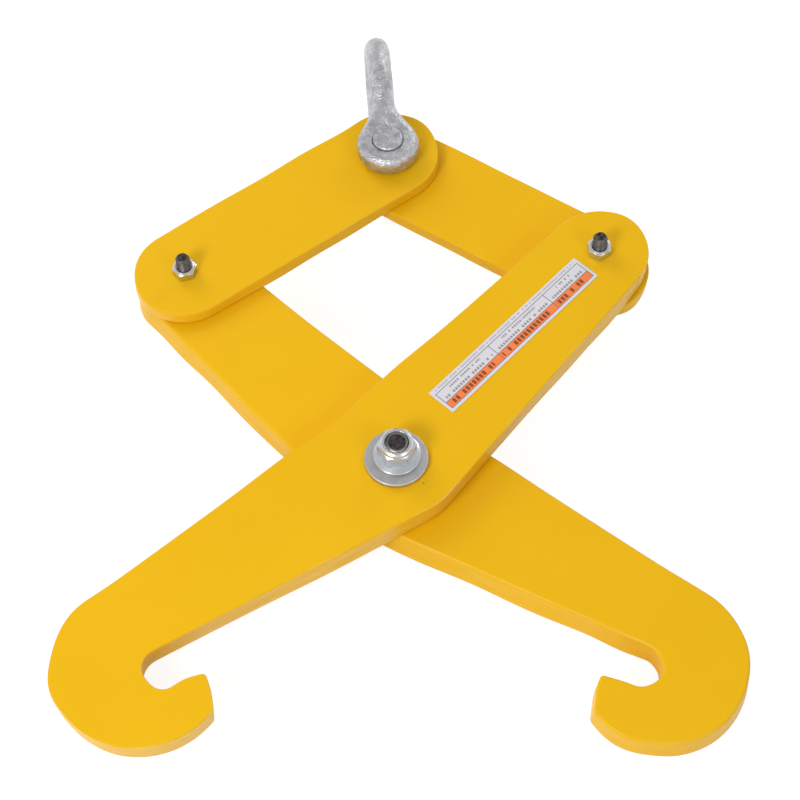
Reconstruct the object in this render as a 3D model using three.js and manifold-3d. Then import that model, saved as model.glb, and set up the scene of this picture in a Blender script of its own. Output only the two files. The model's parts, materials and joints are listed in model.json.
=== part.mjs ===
// Beam tongs: two crossed hook arms turn on a centre bolt, and two links join their upper ends to a shackle.
// Millimetres. They lie on a floor at z = 0, with +Y from the hooks to the shackle and +Z up.
import * as THREE from "three";
import { mergeVertices } from "three/addons/utils/BufferGeometryUtils.js";
import { ConvexHull } from "three/addons/math/ConvexHull.js";
import Module from "manifold-3d";

// Clearances between pieces
const runningGap = 0.6; // plates that slide on each other
const seatGap = 0.3; // pieces that are bolted or screwed tight
const boreGap = 0.4; // radial, round a bolt or pin in its hole
const openPivotGap = 5.9; // radial, round the shackle pin in the rear link
const overrun = 1; // how far a cutting shape passes the face that it cuts
const arcTolerance = 0.04; // most that a chord leaves its arc

// Numbers of sides and steps
const holeSides = 32;
const roundSides = 28;
const rodSides = 20;
const bowSteps = 36;
const cornerSteps = 4;

// Arm plate, seen from its wide face: centre pivot at the origin, upper pivot on +Y.
// Its outline is a belt round the circles that these values place.
const arm = {
  thickness: 15.9,
  edgeLean: 1, // how much narrower the outline is on the other face
  upperReach: 180, // centre pivot to upper pivot
  endRadius: 28.9,
  hubRadius: 35.5, // inner edge, about the centre pivot
  outerReach: 40.1, // centre pivot to the outer edge
  waistRadius: 40, // soft hollow in the outer edge
  waistRise: 9.1,
  hookRadius: 46.6,
  hookOffset: 22.7, // hook's centre, outwards of and below the centre pivot
  hookDrop: 176.5,
  slotRadius: 11.7,
  slotOffset: 11.4,
  slotDrop: 171.2,
  noseRadius: 1.5, // hook's nose, inwards of and below the centre pivot
  noseOffset: 7.24,
  noseDrop: 163.4,
  heelRadius: 3, // corner where the nose meets the hook's round
};
const heelAngle = THREE.MathUtils.degToRad(4.9); // where on the hook's round the heel lies

// Link plate: arm pivot at the origin, shackle pivot on +Y.
const link = {
  thickness: 8,
  edgeLean: 0.35,
  reach: 146,
  endRadius: 30.5,
};

// Fold: how far each arm leans from the middle line as the tongs lie.
const foldAngle = THREE.MathUtils.degToRad(42.1);

// Centre bolt, with a washer at each end and a flanged lock nut
const centreBolt = {
  radius: 6.35,
  headFlats: 19.05,
  headHeight: 7.9,
  tipChamfer: 1.4,
  tipPast: -0.2, // end beyond the nut, negative where it lies inside
};
const centreWasher = {
  radius: 17.6,
  thickness: 2.8,
  edgeBreak: 0.5,
};
const centreNut = {
  flats: 19.05,
  hexHeight: 12.3,
  collarHeight: 2.5,
  collarWall: 0.85,
  lip: 0.7, // crimped rim over the locking ring
  insertWall: 1,
  insertHeight: 2.6,
};
const centreFlange = {
  radius: 13.15,
  seatRadius: 12.2,
  underBevel: 1.1, // height of the bevel between seat and rim
  rim: 0.9,
  rise: 1.4, // height of the cone between rim and hexagon
};

// Link bolts and their low lock nuts
const linkBolt = {
  radius: 3.97,
  headFlats: 12.7,
  headHeight: 5.4,
  tipChamfer: 0.9,
  tipPast: 7.1,
};
const linkNut = {
  flats: 12.7,
  hexHeight: 5,
  collarHeight: 1.3,
  collarWall: 0.5,
  lip: 0.6,
  insertWall: 0.7,
  insertHeight: 1.5,
};
const hexChamferShare = 0.07; // height of a hexagon's corner chamfer, as a share of its width
const nutTurn = {
  centre: 0,
  left: THREE.MathUtils.degToRad(13),
  right: THREE.MathUtils.degToRad(32),
};

// Shackle, with its pin along Z and its bow on +Y
const shackle = {
  jaw: 27,
  earRadius: 18.6,
  earThickness: 12.5,
  earRound: 3.6,
  rodRadius: 7.5,
  bowRadius: 29.5, // centre line round the crown
  bowRise: 55, // pin to the crown's centre
  legPull: 15, // pull of the leg's flare at either end
};
const shackleLean = THREE.MathUtils.degToRad(4);
const pin = {
  radius: 9.52,
  past: 2.6, // end beyond the front ear
  rimRound: 2.2,
  dimpleRadius: 1.7,
  dimpleDepth: 1.1,
  collarRadius: 12.6,
  collarThickness: 3,
  eyeRadius: 10.2,
  eyeThickness: 9,
  eyeHoleRadius: 5.5,
  eyeReach: 20, // from the rear ear to the eye's far side
};

// Blank decal along the front arm, between its pivots
const decal = {
  width: 18.3,
  thickness: 0.6,
  cornerRadius: 1.2,
  centreSpace: 42.05, // from the centre pivot to its lower end
  pivotSpace: 13.45, // from its upper end to the upper pivot
  offset: 1.7, // its middle, outwards of the line between the pivots
};
const decalTurn = THREE.MathUtils.degToRad(-2.5);

// Materials
const paint = new THREE.MeshStandardMaterial({ color: 0xf0bb1d, roughness: 0.35, metalness: 0 });
const zinc = new THREE.MeshStandardMaterial({ color: 0xb9bdc2, roughness: 0.3, metalness: 1 });
const galvanised = new THREE.MeshStandardMaterial({ color: 0x9b9da0, roughness: 0.5, metalness: 1 });
const darkSteel = new THREE.MeshStandardMaterial({ color: 0x5c5450, roughness: 0.5, metalness: 1 });
const nylon = new THREE.MeshStandardMaterial({ color: 0x3a3f45, roughness: 0.6, metalness: 0 });
const decalFilm = new THREE.MeshStandardMaterial({ color: 0xf2f0ea, roughness: 0.4, metalness: 0 });

const wasm = await Module();
wasm.setup();

/** The solid that a closed geometry bounds. */
function solidOf(geometry) {
  const bare = geometry.clone();
  bare.deleteAttribute("normal");
  bare.deleteAttribute("uv");
  const merged = mergeVertices(bare);
  const mesh = new wasm.Mesh({
    numProp: 3,
    vertProperties: merged.attributes.position.array,
    triVerts: new Uint32Array(merged.index.array),
  });
  return new wasm.Manifold(mesh);
}

/** The triangles of a solid as a geometry with flat shading. */
function geometryOf(solid) {
  const { vertProperties, triVerts } = solid.getMesh();
  const indexed = new THREE.BufferGeometry();
  indexed.setAttribute("position", new THREE.BufferAttribute(vertProperties, 3));
  indexed.setIndex(new THREE.BufferAttribute(triVerts, 1));
  const geometry = indexed.toNonIndexed();
  geometry.computeVertexNormals();
  return geometry;
}

/** A turned body about Z. The profile holds [radius, z] pairs, upwards along the outside. */
function turned(profile) {
  const points = profile.map(([radius, z]) => new THREE.Vector2(radius, z));
  return new THREE.LatheGeometry(points, roundSides).rotateX(Math.PI / 2);
}

/** A plain cylinder about Z, from z = bottom to z = top. */
function rod(radius, bottom, top) {
  return turned([
    [0, bottom],
    [radius, bottom],
    [radius, top],
    [0, top],
  ]);
}

/** A hexagon prism about Z from z = bottom to z = top, its corners chamfered at both ends. */
function hexagon(flats, bottom, top) {
  const cornerRadius = flats / Math.sqrt(3);
  const chamfer = flats * hexChamferShare;
  const prism = new THREE.CylinderGeometry(cornerRadius, cornerRadius, top - bottom, 6);
  prism.rotateX(Math.PI / 2).rotateZ(Math.PI / 2);
  prism.translate(0, 0, (bottom + top) / 2);
  const rounding = turned([
    [0, bottom],
    [flats / 2, bottom],
    [cornerRadius, bottom + chamfer],
    [cornerRadius, top - chamfer],
    [flats / 2, top],
    [0, top],
  ]);
  return solidOf(prism).intersect(solidOf(rounding));
}

/** The direction of the outward normal on the straight edge that leaves circle a for circle b. */
function edgeNormal(a, b) {
  const heading = Math.atan2(b.y - a.y, b.x - a.x);
  const apart = Math.hypot(b.x - a.x, b.y - a.y);
  return heading - Math.acos(Math.min(1, (a.radius - b.radius) / apart));
}

/**
 * The outline of a belt that runs anticlockwise round circles, drawn in by an inset.
 * A circle of negative radius is a hollow that the belt bends into.
 */
function belt(circles, inset) {
  return circles.flatMap((circle, i) => {
    const before = circles.at(i - 1);
    const after = circles[(i + 1) % circles.length];
    const side = Math.sign(circle.radius);
    const start = edgeNormal(before, circle);
    const swing = side * (edgeNormal(circle, after) - start);
    const turn = Math.max(0, THREE.MathUtils.euclideanModulo(swing + Math.PI / 2, 2 * Math.PI) - Math.PI / 2);
    const stepAngle = 2 * Math.acos(1 - arcTolerance / Math.max(arcTolerance, Math.abs(circle.radius)));
    const steps = Math.max(1, Math.ceil(turn / stepAngle));
    return Array.from({ length: steps + 1 }, (_, step) => {
      const angle = start + (side * turn * step) / steps;
      const reach = circle.radius - inset;
      return new THREE.Vector2(circle.x + reach * Math.cos(angle), circle.y + reach * Math.sin(angle));
    });
  });
}

/**
 * A cut plate from z = 0 to its thickness, with straight holes and edges that lean inwards.
 * Its outline is full size on the wide face, which is the upper or the lower one.
 */
function plate(circles, holes, size, wideFaceUp) {
  const wide = belt(circles, 0);
  const narrow = belt(circles, size.edgeLean);
  const shape = new THREE.Shape(wide);
  shape.holes = holes.map(({ x, y, radius }) => new THREE.Path().absarc(x, y, radius, 0, 2 * Math.PI, true));
  const geometry = new THREE.ExtrudeGeometry(shape, {
    depth: size.thickness,
    bevelEnabled: false,
    curveSegments: holeSides / 2,
  });
  const keyOf = (x, y) => Math.fround(x) + " " + Math.fround(y);
  const drawnIn = new Map(wide.map((point, i) => [keyOf(point.x, point.y), narrow[i]]));
  const places = geometry.getAttribute("position");
  for (let i = 0; i < places.count; i++) {
    const onUpperFace = places.getZ(i) > size.thickness / 2;
    const target = drawnIn.get(keyOf(places.getX(i), places.getY(i)));
    if (target && onUpperFace !== wideFaceUp) places.setXY(i, target.x, target.y);
  }
  return solidOf(geometry);
}

/** The arm plate, wide face up. */
function armPlate() {
  const heelReach = arm.hookRadius - arm.heelRadius;
  const outline = [
    { x: 0, y: arm.upperReach, radius: arm.endRadius },
    { x: -arm.outerReach - arm.waistRadius, y: arm.waistRise, radius: -arm.waistRadius },
    { x: -arm.hookOffset, y: -arm.hookDrop, radius: arm.hookRadius },
    {
      x: -arm.hookOffset + heelReach * Math.cos(heelAngle),
      y: -arm.hookDrop + heelReach * Math.sin(heelAngle),
      radius: arm.heelRadius,
    },
    { x: arm.noseOffset, y: -arm.noseDrop, radius: arm.noseRadius },
    { x: -arm.slotOffset, y: -arm.slotDrop, radius: -arm.slotRadius },
    { x: 0, y: 0, radius: arm.hubRadius },
  ];
  const holes = [
    { x: 0, y: 0, radius: centreBolt.radius + boreGap },
    { x: 0, y: arm.upperReach, radius: linkBolt.radius + boreGap },
  ];
  return plate(outline, holes, arm, true);
}

/** A link plate, wide face down, with the given clearance round the shackle pin. */
function linkPlate(pinGap) {
  const outline = [
    { x: 0, y: link.reach, radius: link.endRadius },
    { x: 0, y: 0, radius: link.endRadius },
  ];
  const holes = [
    { x: 0, y: 0, radius: linkBolt.radius + boreGap },
    { x: 0, y: link.reach, radius: pin.radius + pinGap },
  ];
  return plate(outline, holes, link, false);
}

/** A bolt about Z: its head ends at z = 0, its shank runs up to the given length. */
function bolt(size, length) {
  const shank = turned([
    [0, -size.headHeight / 2],
    [size.radius, -size.headHeight / 2],
    [size.radius, length - size.tipChamfer],
    [size.radius - size.tipChamfer, length],
    [0, length],
  ]);
  return hexagon(size.headFlats, -size.headHeight, 0).add(solidOf(shank));
}

/** A flat washer from z = 0 up, round the centre bolt. */
function washer() {
  const bore = centreBolt.radius + boreGap;
  const { radius, thickness, edgeBreak } = centreWasher;
  const ring = turned([
    [bore, 0],
    [radius - edgeBreak, 0],
    [radius, edgeBreak],
    [radius, thickness - edgeBreak],
    [radius - edgeBreak, thickness],
    [bore, thickness],
    [bore, 0],
  ]);
  return solidOf(ring);
}

/** Radii and heights inside a lock nut, which its locking ring shares. */
function nutPocket(size, boltSize) {
  const bore = boltSize.radius + seatGap;
  const height = size.hexHeight + size.collarHeight;
  return {
    bore,
    height,
    wall: bore + size.insertWall,
    floor: height - size.lip - size.insertHeight - 2 * seatGap,
    ceiling: height - size.lip,
  };
}

/** A lock nut from z = 0 up, with a crimped collar that holds a locking ring. */
function lockNut(size, boltSize) {
  const pocket = nutPocket(size, boltSize);
  const hollow = pocket.wall + seatGap;
  const collarRadius = hollow + size.collarWall;
  const collar = turned([
    [0, size.hexHeight / 2],
    [collarRadius, size.hexHeight / 2],
    [collarRadius, pocket.ceiling - size.lip],
    [collarRadius - size.lip / 2, pocket.ceiling],
    [hollow - size.lip / 2, pocket.height],
    [0, pocket.height],
  ]);
  const ringSpace = turned([
    [0, pocket.floor],
    [hollow, pocket.floor],
    [hollow, pocket.ceiling],
    [0, pocket.ceiling],
  ]);
  const mouth = rod(pocket.bore + size.insertWall / 2, pocket.ceiling - overrun, pocket.height + overrun);
  return hexagon(size.flats, 0, size.hexHeight)
    .add(solidOf(collar))
    .subtract(solidOf(ringSpace))
    .subtract(solidOf(mouth))
    .subtract(solidOf(rod(pocket.bore, -overrun, pocket.height)));
}

/** The locking ring of a lock nut, where it lies in the nut. */
function nutInsert(size, boltSize) {
  const pocket = nutPocket(size, boltSize);
  const bottom = pocket.floor + seatGap;
  const top = bottom + size.insertHeight;
  const ring = turned([
    [pocket.bore, bottom],
    [pocket.wall, bottom],
    [pocket.wall, top],
    [pocket.bore, top],
    [pocket.bore, bottom],
  ]);
  return solidOf(ring);
}

/** The round flange under the centre nut's hexagon, bored for the bolt. */
function nutFlange() {
  const { radius, seatRadius, underBevel, rim, rise } = centreFlange;
  const rimTop = underBevel + rim;
  const coneTop = rimTop + rise;
  const cone = turned([
    [0, 0],
    [seatRadius, 0],
    [radius, underBevel],
    [radius, rimTop],
    [centreNut.flats / 2, coneTop],
    [0, coneTop],
  ]);
  return solidOf(cone).subtract(solidOf(rod(centreBolt.radius + seatGap, -overrun, coneTop + overrun)));
}

/** The shackle's bow: two ears about the pin and a rod that runs up, round the crown and down. */
function shackleBow() {
  const { jaw, earRadius, earThickness, earRound, rodRadius, bowRadius, bowRise, legPull } = shackle;
  const outerFace = jaw / 2 + earThickness;
  const legStart = outerFace - rodRadius;
  const flareStart = pin.collarRadius + seatGap;
  const lowerPull = flareStart + legPull;
  const upperPull = bowRise - legPull;
  const side = new THREE.Path();
  side.moveTo(0, legStart);
  side.lineTo(flareStart, legStart);
  side.bezierCurveTo(lowerPull, legStart, upperPull, bowRadius, bowRise, bowRadius);
  side.absarc(bowRise, 0, bowRadius, Math.PI / 2, -Math.PI / 2, true);
  side.bezierCurveTo(upperPull, -bowRadius, lowerPull, -legStart, flareStart, -legStart);
  side.lineTo(0, -legStart);
  const centreLine = side.getSpacedPoints(bowSteps).map((point) => new THREE.Vector3(0, point.x, point.y));
  const section = new THREE.Shape().absarc(0, 0, rodRadius, 0, 2 * Math.PI);
  const bar = new THREE.ExtrudeGeometry(section, {
    steps: bowSteps,
    curveSegments: rodSides / 2,
    extrudePath: new THREE.CatmullRomCurve3(centreLine),
  });
  const rim = Array.from({ length: cornerSteps + 1 }, (_, step) => {
    const angle = ((step / cornerSteps) * Math.PI) / 2;
    return [earRadius - earRound * (1 - Math.cos(angle)), earRound * (1 - Math.sin(angle))];
  });
  const ear = turned([
    [0, 0],
    ...rim.map(([radius, height]) => [radius, height]).reverse(),
    ...rim.map(([radius, height]) => [radius, earThickness - height]),
    [0, earThickness],
  ]);
  const frontEar = ear.clone().translate(0, 0, jaw / 2);
  const rearEar = ear.clone().translate(0, 0, -outerFace);
  const linkSpan = 2 * (link.endRadius + overrun);
  const jawSpace = new THREE.BoxGeometry(linkSpan, linkSpan, jaw);
  const bore = rod(pin.radius + boreGap, -outerFace - overrun, outerFace + overrun);
  return solidOf(bar)
    .add(solidOf(frontEar))
    .add(solidOf(rearEar))
    .subtract(solidOf(jawSpace))
    .subtract(solidOf(bore));
}

/** The shackle's screw pin, its collar and eye behind the rear ear. */
function shacklePin() {
  const outerFace = shackle.jaw / 2 + shackle.earThickness;
  const front = outerFace + pin.past;
  const collarTop = -outerFace - seatGap;
  const collarBottom = collarTop - pin.collarThickness;
  const eyeCentre = -outerFace - pin.eyeReach + pin.eyeRadius;
  const body = turned([
    [0, collarBottom],
    [pin.collarRadius, collarBottom],
    [pin.collarRadius, collarTop],
    [pin.radius, collarTop],
    [pin.radius, front - pin.rimRound],
    [pin.radius - pin.rimRound / 4, front - pin.rimRound / 3],
    [pin.radius - pin.rimRound, front],
    [pin.dimpleRadius, front],
    [0, front - pin.dimpleDepth],
  ]);
  const halfEye = pin.eyeThickness / 2;
  const across = (radius, half) => rod(radius, -half, half).rotateX(Math.PI / 2).translate(0, 0, eyeCentre);
  const clearance = rod(2 * pin.collarRadius, collarTop, front);
  const eye = solidOf(across(pin.eyeRadius, halfEye)).subtract(solidOf(clearance));
  const hole = solidOf(across(pin.eyeHoleRadius, halfEye + overrun));
  return solidOf(body).add(eye).subtract(hole);
}

/** The blank decal, a thin film with round corners, from z = 0 up. */
function decalSheet() {
  const halfWidth = decal.width / 2 - decal.cornerRadius;
  const halfLength = (arm.upperReach - decal.centreSpace - decal.pivotSpace) / 2 - decal.cornerRadius;
  const corners = [
    { x: halfWidth, y: -halfLength, radius: decal.cornerRadius },
    { x: halfWidth, y: halfLength, radius: decal.cornerRadius },
    { x: -halfWidth, y: halfLength, radius: decal.cornerRadius },
    { x: -halfWidth, y: -halfLength, radius: decal.cornerRadius },
  ];
  const sheet = new THREE.ExtrudeGeometry(new THREE.Shape(belt(corners, 0)), {
    depth: decal.thickness,
    bevelEnabled: false,
  });
  return solidOf(sheet);
}

/** A named piece of the tongs at a height above its group's plane. */
function piece(name, solid, material, z) {
  const mesh = new THREE.Mesh(geometryOf(solid), material);
  mesh.name = name;
  mesh.position.z = z;
  return mesh;
}

/** A group at a place in the fold's plane, turned about Z, with its members. */
function placed(x, y, turn, ...members) {
  const group = new THREE.Group();
  group.position.set(x, y, 0);
  group.rotation.z = turn;
  return group.add(...members);
}

// Places in the fold's plane: the centre pivot is the origin and the rear plates' front faces are z = 0.
const upperPivot = {
  x: arm.upperReach * Math.sin(foldAngle),
  y: arm.upperReach * Math.cos(foldAngle),
};
const shacklePivotY = upperPivot.y + Math.sqrt(link.reach ** 2 - upperPivot.x ** 2);
const linkTurn = Math.atan2(upperPivot.x, shacklePivotY - upperPivot.y);
const armFront = runningGap + arm.thickness;
const linkFront = runningGap + link.thickness;

/** One arm and one link on their side of the fold's plane. */
function plateLayer(armName, linkName, pinGap) {
  return [
    placed(0, 0, -foldAngle, piece(armName, armPlate(), paint, 0)),
    placed(-upperPivot.x, upperPivot.y, -linkTurn, piece(linkName, linkPlate(pinGap), paint, 0)),
  ];
}

/** A link bolt with its lock nut, about an upper pivot between a rear and a front face. */
function linkFastener(side, x, rearFace, frontFace) {
  const seat = frontFace + seatGap;
  const length = seat - rearFace + seatGap + nutPocket(linkNut, linkBolt).height + linkBolt.tipPast;
  return placed(
    x,
    upperPivot.y,
    nutTurn[side],
    piece(side + "_link_bolt", bolt(linkBolt, length), darkSteel, rearFace - seatGap),
    piece(side + "_link_nut", lockNut(linkNut, linkBolt), zinc, seat),
    piece(side + "_link_nut_insert", nutInsert(linkNut, linkBolt), nylon, seat),
  );
}

/** The centre bolt with both washers and its flanged lock nut. */
function centreFastener() {
  const frontWasherSeat = armFront + seatGap;
  const nutSeat = frontWasherSeat + centreWasher.thickness + seatGap;
  const rearWasherSeat = -arm.thickness - seatGap - centreWasher.thickness;
  const headSeat = rearWasherSeat - seatGap;
  const length = nutSeat - headSeat + nutPocket(centreNut, centreBolt).height + centreBolt.tipPast;
  const nut = lockNut(centreNut, centreBolt).add(nutFlange());
  return placed(
    0,
    0,
    nutTurn.centre,
    piece("centre_bolt", bolt(centreBolt, length), darkSteel, headSeat),
    piece("centre_front_washer", washer(), zinc, frontWasherSeat),
    piece("centre_rear_washer", washer(), zinc, rearWasherSeat),
    piece("centre_nut", nut, zinc, nutSeat),
    piece("centre_nut_insert", nutInsert(centreNut, centreBolt), nylon, nutSeat),
  );
}

/** Volume of a closed mesh, and the volume times its centre, both in the frame of the tongs. */
function momentOf(mesh) {
  const places = mesh.geometry.getAttribute("position");
  const moment = new THREE.Vector3();
  const corner = (i) => new THREE.Vector3().fromBufferAttribute(places, i).applyMatrix4(mesh.matrixWorld);
  let volume = 0;
  for (let i = 0; i < places.count; i += 3) {
    const [a, b, c] = [corner(i), corner(i + 1), corner(i + 2)];
    const share = a.dot(b.clone().cross(c)) / 6;
    volume += share;
    moment.addScaledVector(a.add(b).add(c), share / 4);
  }
  return { volume, moment };
}

/** Whether a line through a point along a hull face's normal passes the face inside its edges. */
function standsOver(face, point) {
  let edge = face.edge;
  do {
    const from = edge.tail().point;
    const along = edge.head().point.clone().sub(from);
    if (along.cross(point.clone().sub(from)).dot(face.normal) < 0) return false;
    edge = edge.next;
  } while (edge !== face.edge);
  return true;
}

/** Turns the fold so that it lies as it rests on a floor, and puts its box's bottom centre at the origin. */
function layDown(fold) {
  fold.updateMatrixWorld(true);
  const meshes = [];
  fold.traverse((member) => {
    if (member.isMesh) meshes.push(member);
  });
  const moments = meshes.map(momentOf);
  const volume = moments.reduce((sum, each) => sum + each.volume, 0);
  const massCentre = moments.reduce((sum, each) => sum.add(each.moment), new THREE.Vector3()).divideScalar(volume);
  const footing = new ConvexHull()
    .setFromObject(fold)
    .faces.filter((face) => standsOver(face, massCentre))
    .sort((a, b) => a.normal.z - b.normal.z)[0];
  fold.quaternion.setFromUnitVectors(footing.normal, new THREE.Vector3(0, 0, -1));
  fold.updateMatrixWorld(true);
  const box = new THREE.Box3().setFromObject(fold, true);
  const middle = box.getCenter(new THREE.Vector3());
  fold.position.set(-middle.x, -middle.y, -box.min.z);
}

const frontPlates = new THREE.Group();
frontPlates.position.z = runningGap;
frontPlates.add(...plateLayer("front_arm", "front_link", boreGap));

const rearPlates = new THREE.Group();
rearPlates.rotation.y = Math.PI;
rearPlates.add(...plateLayer("rear_arm", "rear_link", openPivotGap));

const decalPiece = piece("blank_decal", decalSheet(), decalFilm, arm.thickness + seatGap);
const decalRise = (decal.centreSpace + arm.upperReach - decal.pivotSpace) / 2;
frontPlates.children[0].add(placed(-decal.offset, decalRise, decalTurn, decalPiece));

const jawMiddle = linkFront + seatGap - shackle.jaw / 2;
const shackleGroup = placed(
  0,
  shacklePivotY,
  0,
  placed(0, 0, shackleLean, piece("shackle_bow", shackleBow(), galvanised, jawMiddle)),
  piece("shackle_pin", shacklePin(), galvanised, jawMiddle),
);

const fold = new THREE.Group();
fold.add(frontPlates, rearPlates, shackleGroup, centreFastener());
fold.add(linkFastener("left", -upperPivot.x, -arm.thickness, linkFront));
fold.add(linkFastener("right", upperPivot.x, -link.thickness, armFront));
layDown(fold);

const tongs = new THREE.Group();
tongs.add(fold);

export default tongs;
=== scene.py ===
"""Beam tongs: the looks of a scissor lifting tool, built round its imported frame.

The sub-assemblies are measured in millimetres in the fold's own frame: the centre pivot is the
origin, +Y runs to the shackle, +Z is the plates' normal, and the rear plates' front faces lie at
z = 0. Fold.place turns that frame to metres where the tongs lie on the floor.
"""
import json
import logging
import math
from collections.abc import Iterable, Sequence
from dataclasses import dataclass, field
from enum import Enum

import bpy
import numpy as np
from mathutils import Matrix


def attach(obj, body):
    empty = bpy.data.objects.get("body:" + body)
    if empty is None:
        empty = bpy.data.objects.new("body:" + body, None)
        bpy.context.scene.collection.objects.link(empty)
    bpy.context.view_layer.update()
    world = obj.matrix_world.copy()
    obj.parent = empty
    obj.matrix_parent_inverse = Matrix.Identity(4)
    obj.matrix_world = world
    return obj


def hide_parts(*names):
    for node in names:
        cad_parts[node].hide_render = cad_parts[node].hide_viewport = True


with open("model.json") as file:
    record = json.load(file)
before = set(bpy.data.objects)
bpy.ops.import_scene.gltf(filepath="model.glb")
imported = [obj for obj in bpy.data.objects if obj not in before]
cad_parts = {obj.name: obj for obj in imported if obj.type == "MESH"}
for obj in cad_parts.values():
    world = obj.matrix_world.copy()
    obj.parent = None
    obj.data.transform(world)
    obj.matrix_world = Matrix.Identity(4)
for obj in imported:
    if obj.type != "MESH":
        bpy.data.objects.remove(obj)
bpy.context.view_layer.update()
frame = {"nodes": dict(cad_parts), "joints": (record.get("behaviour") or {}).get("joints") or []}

import openvdb
from mathutils import Matrix, Vector, geometry, noise

MM = 0.001
TAU = 2 * math.pi
WHITE = (1.0, 1.0, 1.0, 1.0)
log = logging.getLogger("beam_tongs")

Point = tuple[float, float]
Socket = bpy.types.NodeSocket
Links = dict[str | int, object]


class Layer(Enum):
    """The layer of the fold that a plate lies in."""

    FRONT = "front"
    REAR = "rear"


class WideFace(Enum):
    """The face of a cut plate on which its outline is full size."""

    UPPER = 1
    LOWER = 0


# Colour, nodes and materials


def linear(hex_colour: str) -> tuple[float, float, float, float]:
    """Turns an sRGB hex colour to linear RGBA.

    Args:
        hex_colour: The colour, as "#rrggbb".

    Returns:
        Red, green, blue and an alpha of 1.
    """
    shares = [int(hex_colour[i : i + 2], 16) / 255 for i in (1, 3, 5)]
    red, green, blue = (s / 12.92 if s <= 0.04045 else ((s + 0.055) / 1.055) ** 2.4 for s in shares)
    return red, green, blue, 1.0


def add(
    tree: bpy.types.NodeTree, kind: str, links: Links | None = None, **settings: object
) -> bpy.types.Node:
    """Adds a node to a tree, with its settings and what feeds it.

    Args:
        tree: The node tree.
        kind: The node's type name.
        links: For each input's name or number, a value, the output that feeds it, or a node whose first
            output in use feeds it.
        settings: The node's own settings.

    Returns:
        The node.
    """
    node = tree.nodes.new(kind)
    for name, value in settings.items():
        setattr(node, name, value)
    for key, value in (links or {}).items():
        if isinstance(value, bpy.types.Node):
            value = next(output for output in value.outputs if output.enabled)
        if isinstance(value, Socket):
            tree.links.new(value, node.inputs[key])
        else:
            node.inputs[key].default_value = value
    return node


def per_mm(size: float) -> float:
    """The scale at which a pattern on Object coordinates repeats about every `size` millimetres."""
    return 1 / (size * MM)


@dataclass(frozen=True)
class Finish:
    """A surface finish, with its material's name and the record's slot."""

    name: str = "finish"
    slot: str = ""

    def material(self) -> bpy.types.Material:
        """Makes the finish's material once.

        Returns:
            The material, the same one at each call.
        """
        made = bpy.data.materials.get(self.name)
        if made is None:
            made = bpy.data.materials.new(self.name)
            made.use_nodes = True
            made.node_tree.nodes.clear()
            add(made.node_tree, "ShaderNodeOutputMaterial", {"Surface": self.shade(made.node_tree)})
        return made

    def shade(self, tree: bpy.types.NodeTree) -> bpy.types.Node:
        """Builds the shader in a tree and returns its last node."""
        raise NotImplementedError


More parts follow.
